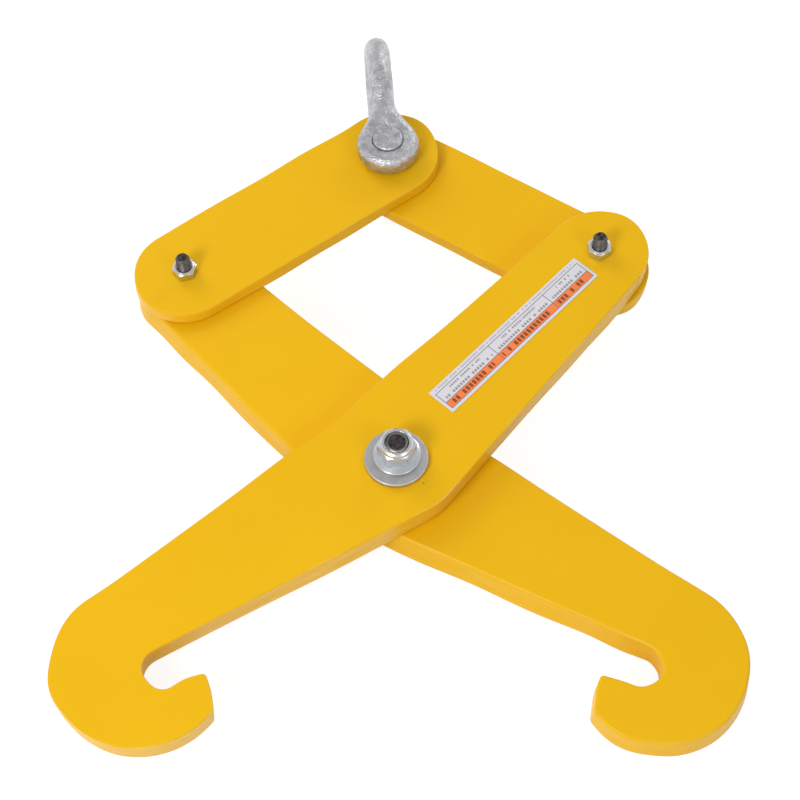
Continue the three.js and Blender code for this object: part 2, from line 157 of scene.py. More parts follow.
@dataclass(frozen=True)
class YellowEnamel(Finish):
    """Safety-yellow alkyd enamel, sprayed on flame-cut plate."""

    # To the eye: an even warm yellow with soft highlights and a faint orange peel. Pale drag lines of the
    # torch show through it along the cut edges, a paleness that is partly painted light on those edges,
    # and it is chipped to brown in a few pinhead spots.
    name: str = "sprayed_yellow_enamel"
    slot: str = "yellow_paint"
    colour: str = "#f0bb12"
    deep: str = "#e9b30e"
    chip: str = "#8a641c"
    pale_streak_and_edge_light: str = "#f6cd74"
    roughness: float = 0.3
    sheen: float = 0.17
    tone_size: float = 70.0
    peel_size: float = 2.4
    peel_depth: float = 0.05
    drag_pitch: float = 1.7
    drag_run: float = 30.0
    drag_depth: float = 0.35
    streak_and_edge_light_range: Point = (0.46, 0.66)
    streak_and_edge_light_share: float = 0.6
    chip_spacing: float = 26.0
    chip_radius: float = 0.55
    chip_share: float = 0.5

    def shade(self, tree: bpy.types.NodeTree) -> bpy.types.Node:
        """Cloudy tone, orange peel on the faces, and drag lines of the cut under the paint of the edges,
        whose pale streaks also paint light on the edges.

        Args:
            tree: The material's empty node tree.

        Returns:
            The shader's last node.
        """
        place = add(tree, "ShaderNodeTexCoord").outputs["Object"]
        cloud = add(
            tree, "ShaderNodeTexNoise", {"Vector": place, "Scale": per_mm(self.tone_size), "Detail": 2.0}
        )
        tone = add(
            tree, "ShaderNodeMix", {0: cloud, 6: linear(self.colour), 7: linear(self.deep)}, data_type="RGBA"
        )
        spots = add(tree, "ShaderNodeTexVoronoi", {"Vector": place, "Scale": per_mm(self.chip_spacing)})
        lot = add(tree, "ShaderNodeSeparateColor", {0: spots.outputs["Color"]})
        chosen = add(tree, "ShaderNodeMath", {0: lot, 1: self.chip_share}, operation="GREATER_THAN")
        reach = self.chip_radius / self.chip_spacing
        spot = add(tree, "ShaderNodeMapRange", {"Value": spots, "From Min": reach, "From Max": 0.5 * reach})
        chipped = add(tree, "ShaderNodeMath", {0: chosen, 1: spot}, operation="MULTIPLY")
        tone = add(tree, "ShaderNodeMix", {0: chipped, 6: tone, 7: linear(self.chip)}, data_type="RGBA")
        cut = add(tree, "ShaderNodeAttribute", attribute_name="cut_run").outputs["Vector"]
        run = add(tree, "ShaderNodeSeparateXYZ", {"Vector": cut}).outputs
        along = add(tree, "ShaderNodeMath", {0: run["X"], 1: self.drag_run}, operation="DIVIDE")
        up = add(tree, "ShaderNodeMath", {0: run["Y"], 1: self.drag_pitch}, operation="DIVIDE")
        stretch = add(tree, "ShaderNodeCombineXYZ", {"X": along, "Y": up})
        drag = add(tree, "ShaderNodeTexNoise", {"Vector": stretch, "Scale": 1.0, "Detail": 2.0})
        # The pale streaks are partly the drag lines' own tone and partly painted light that lightens the cut
        # edges.
        low, high = self.streak_and_edge_light_range
        streak_and_light_mapping = {"Value": drag, "From Min": low, "From Max": high, "To Max": self.streak_and_edge_light_share}
        pale_streaks_and_edge_light = add(tree, "ShaderNodeMapRange", streak_and_light_mapping)
        streaked_and_lit = add(tree, "ShaderNodeMath", {0: pale_streaks_and_edge_light, 1: run["Z"]}, operation="MULTIPLY")
        tone = add(tree, "ShaderNodeMix", {0: streaked_and_lit, 6: tone, 7: linear(self.pale_streak_and_edge_light)}, data_type="RGBA")
        peel = add(
            tree, "ShaderNodeTexNoise", {"Vector": place, "Scale": per_mm(self.peel_size), "Detail": 1.0}
        )
        peeled = add(
            tree, "ShaderNodeBump", {"Height": peel, "Strength": 0.35, "Distance": self.peel_depth * MM}
        )
        lines = add(tree, "ShaderNodeMath", {0: drag, 1: run["Z"]}, operation="MULTIPLY")
        relief = {"Height": lines, "Strength": 0.8, "Distance": self.drag_depth * MM, "Normal": peeled}
        dragged = add(tree, "ShaderNodeBump", relief)
        smooth, dull = self.roughness - 0.04, self.roughness + 0.06
        rough = add(tree, "ShaderNodeMapRange", {"Value": cloud, "To Min": smooth, "To Max": dull})
        paint = {"Base Color": tone, "Roughness": rough, "Normal": dragged, "IOR": 1.5}
        return add(tree, "ShaderNodeBsdfPrincipled", {**paint, "Specular IOR Level": self.sheen})


@dataclass(frozen=True)
class BrightZinc(Finish):
    """Steel with a bright electroplated zinc coat over turned and stamped faces."""

    # To the eye: clear, slightly blue metal with patches of duller plating and fine rings round the axis.
    name: str = "bright_zinc_plate"
    slot: str = "bright_zinc"
    colour: str = "#dde0e4"
    dull: str = "#bbbfc5"
    roughness: float = 0.2
    patch_size: float = 4.545
    # Real turning marks lie 0.1 to 0.2 mm apart, too fine to show, so these are drawn coarser.
    mark_pitch: float = 0.5
    mark_depth: float = 0.03

    def shade(self, tree: bpy.types.NodeTree) -> bpy.types.Node:
        """Turned marks round each piece's own axis, and patches of duller plating.

        Args:
            tree: The material's empty node tree.

        Returns:
            The shader's last node.
        """
        local = add(tree, "ShaderNodeAttribute", attribute_name="local_mm").outputs["Vector"]
        flat = add(tree, "ShaderNodeVectorMath", {0: local, 1: (1.0, 1.0, 0.0)}, operation="MULTIPLY")
        radius = add(tree, "ShaderNodeVectorMath", {0: flat}, operation="LENGTH").outputs["Value"]
        turns = add(tree, "ShaderNodeMath", {0: radius, 1: self.mark_pitch}, operation="DIVIDE")
        marks = add(
            tree, "ShaderNodeTexNoise", {"W": turns, "Scale": 1.0, "Detail": 2.0}, noise_dimensions="1D"
        )
        patch = add(
            tree, "ShaderNodeTexNoise", {"Vector": local, "Scale": 1 / self.patch_size, "Detail": 3.0}
        )
        tone = add(
            tree, "ShaderNodeMix", {0: patch, 6: linear(self.colour), 7: linear(self.dull)}, data_type="RGBA"
        )
        smooth, dull = self.roughness - 0.05, self.roughness + 0.14
        rough = add(tree, "ShaderNodeMapRange", {"Value": patch, "To Min": smooth, "To Max": dull})
        bump = add(
            tree, "ShaderNodeBump", {"Height": marks, "Strength": 0.4, "Distance": self.mark_depth * MM}
        )
        metal = {"Base Color": tone, "Metallic": 1.0, "Roughness": rough, "Normal": bump}
        return add(tree, "ShaderNodeBsdfPrincipled", metal)


@dataclass(frozen=True)
class OiledSteel(Finish):
    """Bolt steel with a thin phosphate and oil coat."""

    # To the eye: dark brown-grey metal, half dull and mottled, with brighter steel on its worn edges, partly
    # a painted highlight on the bolt ends.
    name: str = "oiled_bolt_steel"
    slot: str = "bolt_steel"
    colour: str = "#332e2d"
    worn: str = "#645d5b"
    bright: str = "#a9a6a3"
    roughness: float = 0.42
    mottle_size: float = 2.0
    mottle_range: Point = (0.35, 0.7)
    # The crystals of a phosphate coat are under 0.1 mm, too fine to show, so the grit is drawn coarser.
    grit_size: float = 0.4
    grit_depth: float = 0.03

    def shade(self, tree: bpy.types.NodeTree) -> bpy.types.Node:
        """Mottled coat with fine grit, bared and painted with a highlight where the mesh says so.

        Args:
            tree: The material's empty node tree.

        Returns:
            The shader's last node.
        """
        place = add(tree, "ShaderNodeTexCoord").outputs["Object"]
        mottle = add(
            tree, "ShaderNodeTexNoise", {"Vector": place, "Scale": per_mm(self.mottle_size), "Detail": 4.0}
        )
        low, high = self.mottle_range
        patch = add(tree, "ShaderNodeMapRange", {"Value": mottle, "From Min": low, "From Max": high})
        tone = add(
            tree, "ShaderNodeMix", {0: patch, 6: linear(self.colour), 7: linear(self.worn)}, data_type="RGBA"
        )
        # Where the mesh marks it, the bright steel is partly real wear and partly a painted highlight on the
        # bolt end's rim and chamfer.
        bared_and_highlit = add(tree, "ShaderNodeAttribute", attribute_name="bared_and_highlit").outputs["Vector"]
        edge = add(tree, "ShaderNodeSeparateXYZ", {"Vector": bared_and_highlit}).outputs["X"]
        tone = add(tree, "ShaderNodeMix", {0: edge, 6: tone, 7: linear(self.bright)}, data_type="RGBA")
        grit = add(
            tree, "ShaderNodeTexNoise", {"Vector": place, "Scale": per_mm(self.grit_size), "Detail": 2.0}
        )
        bump = add(
            tree, "ShaderNodeBump", {"Height": grit, "Strength": 0.5, "Distance": self.grit_depth * MM}
        )
        dull, smooth = self.roughness + 0.1, self.roughness - 0.08
        rough = add(tree, "ShaderNodeMapRange", {"Value": mottle, "To Min": dull, "To Max": smooth})
        metal = {"Base Color": tone, "Metallic": 1.0, "Roughness": rough, "Normal": bump}
        return add(tree, "ShaderNodeBsdfPrincipled", metal)


@dataclass(frozen=True)
class GalvanisedForging(Finish):
    """Forged steel, hot-dip galvanised."""

    # To the eye: soft clouded grey with a mottled spangle, bright glints on small lumps and rare rust specks.
    name: str = "galvanised_forging"
    slot: str = "galvanised"
    colour: str = "#e0e0e3"
    dark: str = "#808186"
    rust: str = "#8a5a34"
    roughness: float = 0.3
    metal: float = 0.8
    rusty_metal: float = 0.1
    spangle_size: float = 2.6
    cloud_size: float = 5.0
    cloud_share: float = 0.72
    lump_size: float = 1.3
    lump_depth: float = 0.55
    speck_size: float = 2.6
    speck_range: Point = (0.72, 0.78)

    def shade(self, tree: bpy.types.NodeTree) -> bpy.types.Node:
        """Spangle and cloud for the tone, lumps for the relief, and specks where the zinc is thin.

        Args:
            tree: The material's empty node tree.

        Returns:
            The shader's last node.
        """
        place = add(tree, "ShaderNodeTexCoord").outputs["Object"]
        cells = add(tree, "ShaderNodeTexVoronoi", {"Vector": place, "Scale": per_mm(self.spangle_size)})
        spangle = add(tree, "ShaderNodeSeparateColor", {0: cells.outputs["Color"]})
        cloud = add(
            tree, "ShaderNodeTexNoise", {"Vector": place, "Scale": per_mm(self.cloud_size), "Detail": 5.0}
        )
        blend = add(tree, "ShaderNodeMix", {0: self.cloud_share, 2: spangle, 3: cloud}, data_type="FLOAT")
        tone = add(
            tree, "ShaderNodeMix", {0: blend, 6: linear(self.dark), 7: linear(self.colour)}, data_type="RGBA"
        )
        grain = add(
            tree, "ShaderNodeTexNoise", {"Vector": place, "Scale": per_mm(self.speck_size), "Detail": 3.0}
        )
        low, high = self.speck_range
        speck = add(tree, "ShaderNodeMapRange", {"Value": grain, "From Min": low, "From Max": high})
        stained = add(tree, "ShaderNodeMix", {0: speck, 6: tone, 7: linear(self.rust)}, data_type="RGBA")
        metal = add(
            tree, "ShaderNodeMapRange", {"Value": speck, "To Min": self.metal, "To Max": self.rusty_metal}
        )
        lumps = add(
            tree, "ShaderNodeTexNoise", {"Vector": place, "Scale": per_mm(self.lump_size), "Detail": 3.0}
        )
        bump = add(
            tree, "ShaderNodeBump", {"Height": lumps, "Strength": 1.0, "Distance": self.lump_depth * MM}
        )
        dull, smooth = self.roughness + 0.12, self.roughness - 0.08
        rough = add(tree, "ShaderNodeMapRange", {"Value": blend, "To Min": dull, "To Max": smooth})
        coat = {"Base Color": stained, "Metallic": metal, "Roughness": rough, "Normal": bump}
        return add(tree, "ShaderNodeBsdfPrincipled", coat)


@dataclass(frozen=True)
class MouldedNylon(Finish):
    """Moulded nylon of a lock nut's ring."""

    # To the eye: smooth, blue-grey and a little waxy, scuffed lighter where the thread has turned in it.
    name: str = "moulded_nylon"
    slot: str = "nylon"
    colour: str = "#7d848a"
    light: str = "#a6adb3"
    scuff_size: float = 0.9
    scuff_range: Point = (0.55, 0.7)

    def shade(self, tree: bpy.types.NodeTree) -> bpy.types.Node:
        """Small scuffs that the bolt's thread leaves.

        Args:
            tree: The material's empty node tree.

        Returns:
            The shader's last node.
        """
        place = add(tree, "ShaderNodeTexCoord").outputs["Object"]
        scuff = add(
            tree, "ShaderNodeTexNoise", {"Vector": place, "Scale": per_mm(self.scuff_size), "Detail": 2.0}
        )
        low, high = self.scuff_range
        mask = add(tree, "ShaderNodeMapRange", {"Value": scuff, "From Min": low, "From Max": high})
        tone = add(
            tree, "ShaderNodeMix", {0: mask, 6: linear(self.colour), 7: linear(self.light)}, data_type="RGBA"
        )
        return add(tree, "ShaderNodeBsdfPrincipled", {"Base Color": tone, "Roughness": 0.4, "IOR": 1.53})


@dataclass(frozen=True)
class Print:
    """Ink on the film: its ends along and across as shares, and how many blocks break it, 0 for none."""

    along: Point
    across: Point
    colour: str
    blocks: int = 0


@dataclass(frozen=True)
class PrintedFilm(Finish):
    """Glossy white vinyl film, screen-printed with a band in three cells and rows of blocks."""

    # To the eye: clean white with a thin grey frame, an orange band and rows of small grey blocks.
    name: str = "printed_vinyl_film"
    slot: str = "decal_film"
    white: str = "#dcdae0"
    band: str = "#fc8340"
    band_ink: str = "#7a3d1e"
    ink: str = "#8b888e"
    line: str = "#6e6a70"
    faint: str = "#a9a6ad"
    band_rows: Point = (0.108, 0.376)
    frame_top: float = 0.8
    dividers: Sequence[float] = (0.016, 0.366, 0.742, 0.984)
    line_half: Point = (0.0017, 0.011)
    # Of each block's place, the part that it fills, and the chances at which it is left out or whole.
    block_ends: Point = (0.08, 0.76)
    block_chances: Point = (0.14, 0.2)
    block_ink: float = 0.9

    def prints(self) -> list[Print]:
        """The inked areas, in the order in which they are laid down.

        Returns:
            The band, the rows of blocks in each cell, the fine row beside the frame, and the frame.
        """
        ends = self.dividers[0], self.dividers[-1]
        made = [Print(ends, self.band_rows, self.band), Print((0.03, 0.975), (0.875, 0.93), self.faint, 105)]
        for start, end in zip(self.dividers, self.dividers[1:]):
            made += [
                Print((start + 0.012, end - 0.05), (0.16, 0.325), self.band_ink, 46),
                Print((start + 0.02, end - 0.02), (0.445, 0.535), self.ink, 62),
                Print((start + 0.075, end - 0.075), (0.65, 0.72), self.ink, 80),
            ]
        thin, thick = self.line_half
        rules = (*self.band_rows, self.frame_top)
        made += [Print(ends, (row - thick, row + thick), self.line) for row in rules]
        frame_rows = self.band_rows[0], self.frame_top
        return made + [Print((place - thin, place + thin), frame_rows, self.line) for place in self.dividers]

    def shade(self, tree: bpy.types.NodeTree) -> bpy.types.Node:
        """Lays each print over the white, from the film's own length and width.

        Args:
            tree: The material's empty node tree.

        Returns:
            The shader's last node.
        """
        run = add(tree, "ShaderNodeSeparateXYZ", {0: add(tree, "ShaderNodeUVMap", uv_map="film")})
        tone: object = linear(self.white)
        for item in self.prints():
            mask = self.mask(tree, run, item)
            tone = add(tree, "ShaderNodeMix", {0: mask, 6: tone, 7: linear(item.colour)}, data_type="RGBA")
        return add(tree, "ShaderNodeBsdfPrincipled", {"Base Color": tone, "Roughness": 0.35, "IOR": 1.5})

    def mask(self, tree: bpy.types.NodeTree, run: bpy.types.Node, item: Print) -> bpy.types.Node:
        """Where a print lays its ink.

        Args:
            tree: The tree.
            run: The node that gives the places along and across the film.
            item: The print.

        Returns:
            The node that gives 1 on its ink, 0 beside it, and between them where a block is faint.
        """
        windows = [(run.outputs["X"], item.along), (run.outputs["Y"], item.across)]
        inks = []
        if item.blocks:
            count = add(
                tree, "ShaderNodeMath", {0: run.outputs["X"], 1: float(item.blocks)}, operation="MULTIPLY"
            )
            windows.append((add(tree, "ShaderNodeMath", {0: count}, operation="FRACT"), self.block_ends))
            number = add(tree, "ShaderNodeMath", {0: count}, operation="FLOOR")
            chance = add(tree, "ShaderNodeTexWhiteNoise", {"W": number}, noise_dimensions="1D")
            gone, whole = self.block_chances
            ink = {"Value": chance, "From Min": gone, "From Max": whole, "To Max": self.block_ink}
            inks.append(add(tree, "ShaderNodeMapRange", ink))
        for value, (low, high) in windows:
            middle, half = (low + high) / 2, (high - low) / 2
            inks.append(add(tree, "ShaderNodeMath", {0: value, 1: middle, 2: half}, operation="COMPARE"))
        laid, *others = inks
        for other in others:
            laid = add(tree, "ShaderNodeMath", {0: laid, 1: other}, operation="MULTIPLY")
        return laid


# Shapes


@dataclass(frozen=True)
class Circle:
    """A circle that a plate's outline runs round: one of negative radius is a hollow that it bends into."""

    x: float
    y: float
    radius: float


def belt(circles: Sequence[Circle], inset: float, tolerance: float = 0.004) -> list[Point]:
    """The outline of a belt that runs anticlockwise round circles.

    Args:
        circles: The circles, in the belt's order.
        inset: How far the outline is drawn in.
        tolerance: The most that a chord leaves its arc.

    Returns:
        The outline's points, as many for any inset.
    """

    def edge_normal(a: Circle, b: Circle) -> float:
        """The direction in which a straight part of the belt faces outwards.

        Args:
            a: The circle that the straight part leaves.
            b: The circle that it reaches.

        Returns:
            The angle of its outward normal.
        """
        heading = math.atan2(b.y - a.y, b.x - a.x)
        apart = math.hypot(b.x - a.x, b.y - a.y)
        return heading - math.acos(min(1.0, (a.radius - b.radius) / apart))

    points = []
    for i, circle in enumerate(circles):
        before, after = circles[i - 1], circles[(i + 1) % len(circles)]
        side = math.copysign(1.0, circle.radius)
        start = edge_normal(before, circle)
        swing = side * (edge_normal(circle, after) - start)
        turn = max(0.0, (swing + math.pi / 2) % TAU - math.pi / 2)
        size = max(tolerance, abs(circle.radius))
        steps = max(2, math.ceil(turn / (2 * math.acos(1 - tolerance / size))))
        reach = circle.radius - inset
        if circle.radius > 0:
            reach = max(reach, 0.02)
        for step in range(steps + 1):
            angle = start + side * turn * step / steps
            points.append((circle.x + reach * math.cos(angle), circle.y + reach * math.sin(angle)))
    return points


def filleted(corners: Sequence[tuple[float, float, float]], steps: int = 4) -> list[Point]:
    """A profile with its corners rounded.

    Args:
        corners: Radius, height and rounding of each corner. Without rounding a corner stays sharp.
        steps: Steps of each rounding.

    Returns:
        The profile's points.
    """
    made: list[Point] = []
    for i, (x, y, rounding) in enumerate(corners):
        if rounding <= 0 or i in (0, len(corners) - 1):
            made.append((x, y))
            continue
        here = Vector((x, y))
        back = Vector(corners[i - 1][:2]) - here
        on = Vector(corners[i + 1][:2]) - here
        half = math.pi / 2 - back.angle(on) / 2
        reach = min(rounding * math.tan(half), 0.48 * back.length, 0.48 * on.length)
        start, end = here + back.normalized() * reach, here + on.normalized() * reach
        for step in range(steps + 1):
            share = step / steps
            point = (1 - share) ** 2 * start + 2 * share * (1 - share) * here + share**2 * end
            made.append((point.x, point.y))
    return made


def hexagon_radii(flats: float, rounding: float, steps: int = 14) -> list[Point]:
    """Angles round a hexagon with rounded corners, and its radius at each.

    Args:
        flats: Its size across flats.
        rounding: The radius of its corners.
        steps: Steps along each flat.

    Returns:
        Pairs of angle and radius, once round from the corner on +X.
    """
    sixth = TAU / 6
    centre = (flats / 2 - rounding) / math.cos(sixth / 2)
    reach = math.atan2(rounding * math.sin(sixth / 2), centre + rounding * math.cos(sixth / 2))
    turns = [reach * k / 2 for k in (-2, -1, 0, 1, 2)]
    turns += [reach + (sixth - 2 * reach) * k / steps for k in range(1, steps)]
    pairs = []
    for corner in range(6):
        for turn in turns:
            if abs(turn) <= reach:
                radius = centre * math.cos(turn) + math.sqrt(rounding**2 - (centre * math.sin(turn)) ** 2)
            else:
                radius = flats / 2 / math.cos(sixth / 2 - turn)
            pairs.append((corner * sixth + turn, radius))
    return pairs


@dataclass
class Draft:
    """A mesh in the making, in millimetres of its own frame."""

    points: list[tuple[float, float, float]] = field(default_factory=list)
    faces: list[tuple[int, ...]] = field(default_factory=list)
    flat_faces: list[int] = field(default_factory=list)
    marks: dict[str, list[tuple[float, float, float]]] = field(default_factory=dict)

    def ring(self, points: Iterable[tuple[float, float, float]]) -> range:
        """Adds points and returns their numbers.

        Args:
            points: The points, in millimetres.

        Returns:
            Their numbers.
        """
        start = len(self.points)
        self.points.extend(points)
        return range(start, len(self.points))

    def bridge(self, lower: Sequence[int], upper: Sequence[int]) -> None:
        """Joins two rings that run anticlockwise, the second farther along the profile.

        Args:
            lower: The first ring.
            upper: The second ring, of as many points.
        """
        count = len(lower)
        for i in range(count):
            j = (i + 1) % count
            self.faces.append((lower[i], lower[j], upper[j], upper[i]))

    def close(self, ring: Sequence[int], middle: tuple[float, float, float], upward: bool) -> None:
        """Closes a ring with triangles to a middle point.

        Args:
            ring: The ring.
            middle: The point.
            upward: Whether the triangles face up.
        """
        centre = self.ring([middle])[0]
        count = len(ring)
        for i in range(count):
            j = (i + 1) % count
            self.faces.append((ring[i], ring[j], centre) if upward else (ring[j], ring[i], centre))

    def turn(self, profile: Sequence[Point], angles: Sequence[float]) -> None:
        """Adds a body turned about Z.

        Args:
            profile: Its radii and heights, upwards along the outside. Where it starts and ends at
                the same point, the body is a ring.
            angles: The angles round the axis.
        """
        closed = profile[0] == profile[-1]
        rings: list[Sequence[int]] = []
        for radius, height in profile[:-1] if closed else profile:
            if radius == 0:
                continue
            rings.append(self.ring((radius * math.cos(a), radius * math.sin(a), height) for a in angles))
        for lower, upper in zip(rings, rings[1:]):
            self.bridge(lower, upper)
        if closed:
            self.bridge(rings[-1], rings[0])
        else:
            self.close(rings[0], (0.0, 0.0, profile[0][1]), upward=False)
            self.close(rings[-1], (0.0, 0.0, profile[-1][1]), upward=True)

    def take(self, points: np.ndarray, faces: np.ndarray) -> None:
        """Adds a mesh that is given as arrays.

        Args:
            points: Its points.
            faces: Its faces.
        """
        start = len(self.points)
        self.points.extend(map(tuple, points.tolist()))
        self.faces.extend(tuple(start + i for i in face) for face in faces.tolist())

    def take_mesh(self, mesh: bpy.types.Mesh) -> None:
        """Adds a Blender mesh and removes it.

        Args:
            mesh: The mesh.
        """
        start = len(self.points)
        self.points.extend(tuple(v.co) for v in mesh.vertices)
        self.faces.extend(tuple(start + i for i in p.vertices) for p in mesh.polygons)
        bpy.data.meshes.remove(mesh)


@dataclass(frozen=True)
class Fold:
    """The plates' frame, and the sizes that place the pivots in it."""

    lean: float = math.radians(42.1)
    upper_reach: float = 180.0
    link_reach: float = 146.0
    running_gap: float = 0.6
    seat_gap: float = 0.3
    arm_thickness: float = 15.9
    link_thickness: float = 8.0

    @property
    def pivot(self) -> Vector:
        """The right upper pivot, in the fold's plane."""
        return Vector((math.sin(self.lean), math.cos(self.lean))) * self.upper_reach

    @property
    def shackle_height(self) -> float:
        """The shackle's pivot, above the centre pivot."""
        return self.pivot.y + math.sqrt(self.link_reach**2 - self.pivot.x**2)

    @property
    def link_turn(self) -> float:
        """How far a link leans from the middle line."""
        return math.atan2(self.pivot.x, self.shackle_height - self.pivot.y)

    @property
    def arm_front(self) -> float:
        """Height of the front arm's front face."""
        return self.running_gap + self.arm_thickness

    @property
    def link_front(self) -> float:
        """Height of the front link's front face."""
        return self.running_gap + self.link_thickness

    @property
    def place(self) -> Matrix:
        """The fold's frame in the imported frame, from millimetres to metres.

        Returns:
            The frame's place and turn.
        """
        swing = frame["joints"][0]
        normal = Vector(swing["axis"])
        turn = Vector((0, 0, 1)).rotation_difference(normal).to_matrix().to_4x4()
        origin = Vector(swing["pos_m"]) - normal * self.running_gap * MM
        return Matrix.Translation(origin) @ turn @ Matrix.Scale(MM, 4)

    def at(self, x: float, y: float, z: float, turn: float = 0.0) -> Matrix:
        """A place in the fold, turned about its normal, as a matrix from millimetres to metres."""
        return self.place @ Matrix.Translation((x, y, z)) @ Matrix.Rotation(turn, 4, "Z")

    def layer(self, layer: Layer) -> Matrix:
        """The frame of a layer's plates, from millimetres to metres.

        Args:
            layer: The layer.

        Returns:
            The frame's place and turn.
        """
        if layer is Layer.FRONT:
            return self.at(0, 0, self.running_gap)
        return self.place @ Matrix.Rotation(math.pi, 4, "Y")


def make_piece(
    name: str,
    draft: Draft,
    place: Matrix,
    finish: Finish,
    body: str,
    stands_for: Sequence[str] = (),
    crease: float = 32.0,
) -> bpy.types.Object:
    """Makes a draft a piece of the tongs, at the origin with its place in its mesh.

    Args:
        name: The piece's name.
        draft: Its mesh, in millimetres of its own frame.
        place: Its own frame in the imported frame, from millimetres to metres.
        finish: Its finish.
        body: The body that it rides on.
        stands_for: The nodes that it replaces.
        crease: Edges sharper than this, in degrees, stay sharp.

    Returns:
        The piece.
    """
    mesh = bpy.data.meshes.new(name)
    mesh.from_pydata([place @ Vector(p) for p in draft.points], [], draft.faces)
    mesh.shade_smooth()
    mesh.set_sharp_from_angle(angle=math.radians(crease))
    for number in draft.flat_faces:
        mesh.polygons[number].use_smooth = False
    local = mesh.attributes.new("local_mm", "FLOAT_VECTOR", "POINT")
    local.data.foreach_set("vector", np.array(draft.points, np.float32).ravel())
    for mark, values in draft.marks.items():
        attribute = mesh.attributes.new(mark, "FLOAT_VECTOR", "POINT")
        attribute.data.foreach_set("vector", np.array(values, np.float32).ravel())
    mesh.materials.append(finish.material())
    made = bpy.data.objects.new(name, mesh)
    bpy.context.scene.collection.objects.link(made)
    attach(made, body)
    if stands_for:
        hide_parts(*stands_for)
    log.info("%s: %d faces, rides on %s", name, len(mesh.polygons), body)
    return made


# Plates


@dataclass(frozen=True)
class Hole:
    """A round hole in a plate."""

    x: float
    y: float
    radius: float


@dataclass(frozen=True)
class Waver:
    """A place where the torch strayed: how wide, and how far out at the lower and the upper face."""

    x: float
    y: float
    width: float
    low: float
    high: float


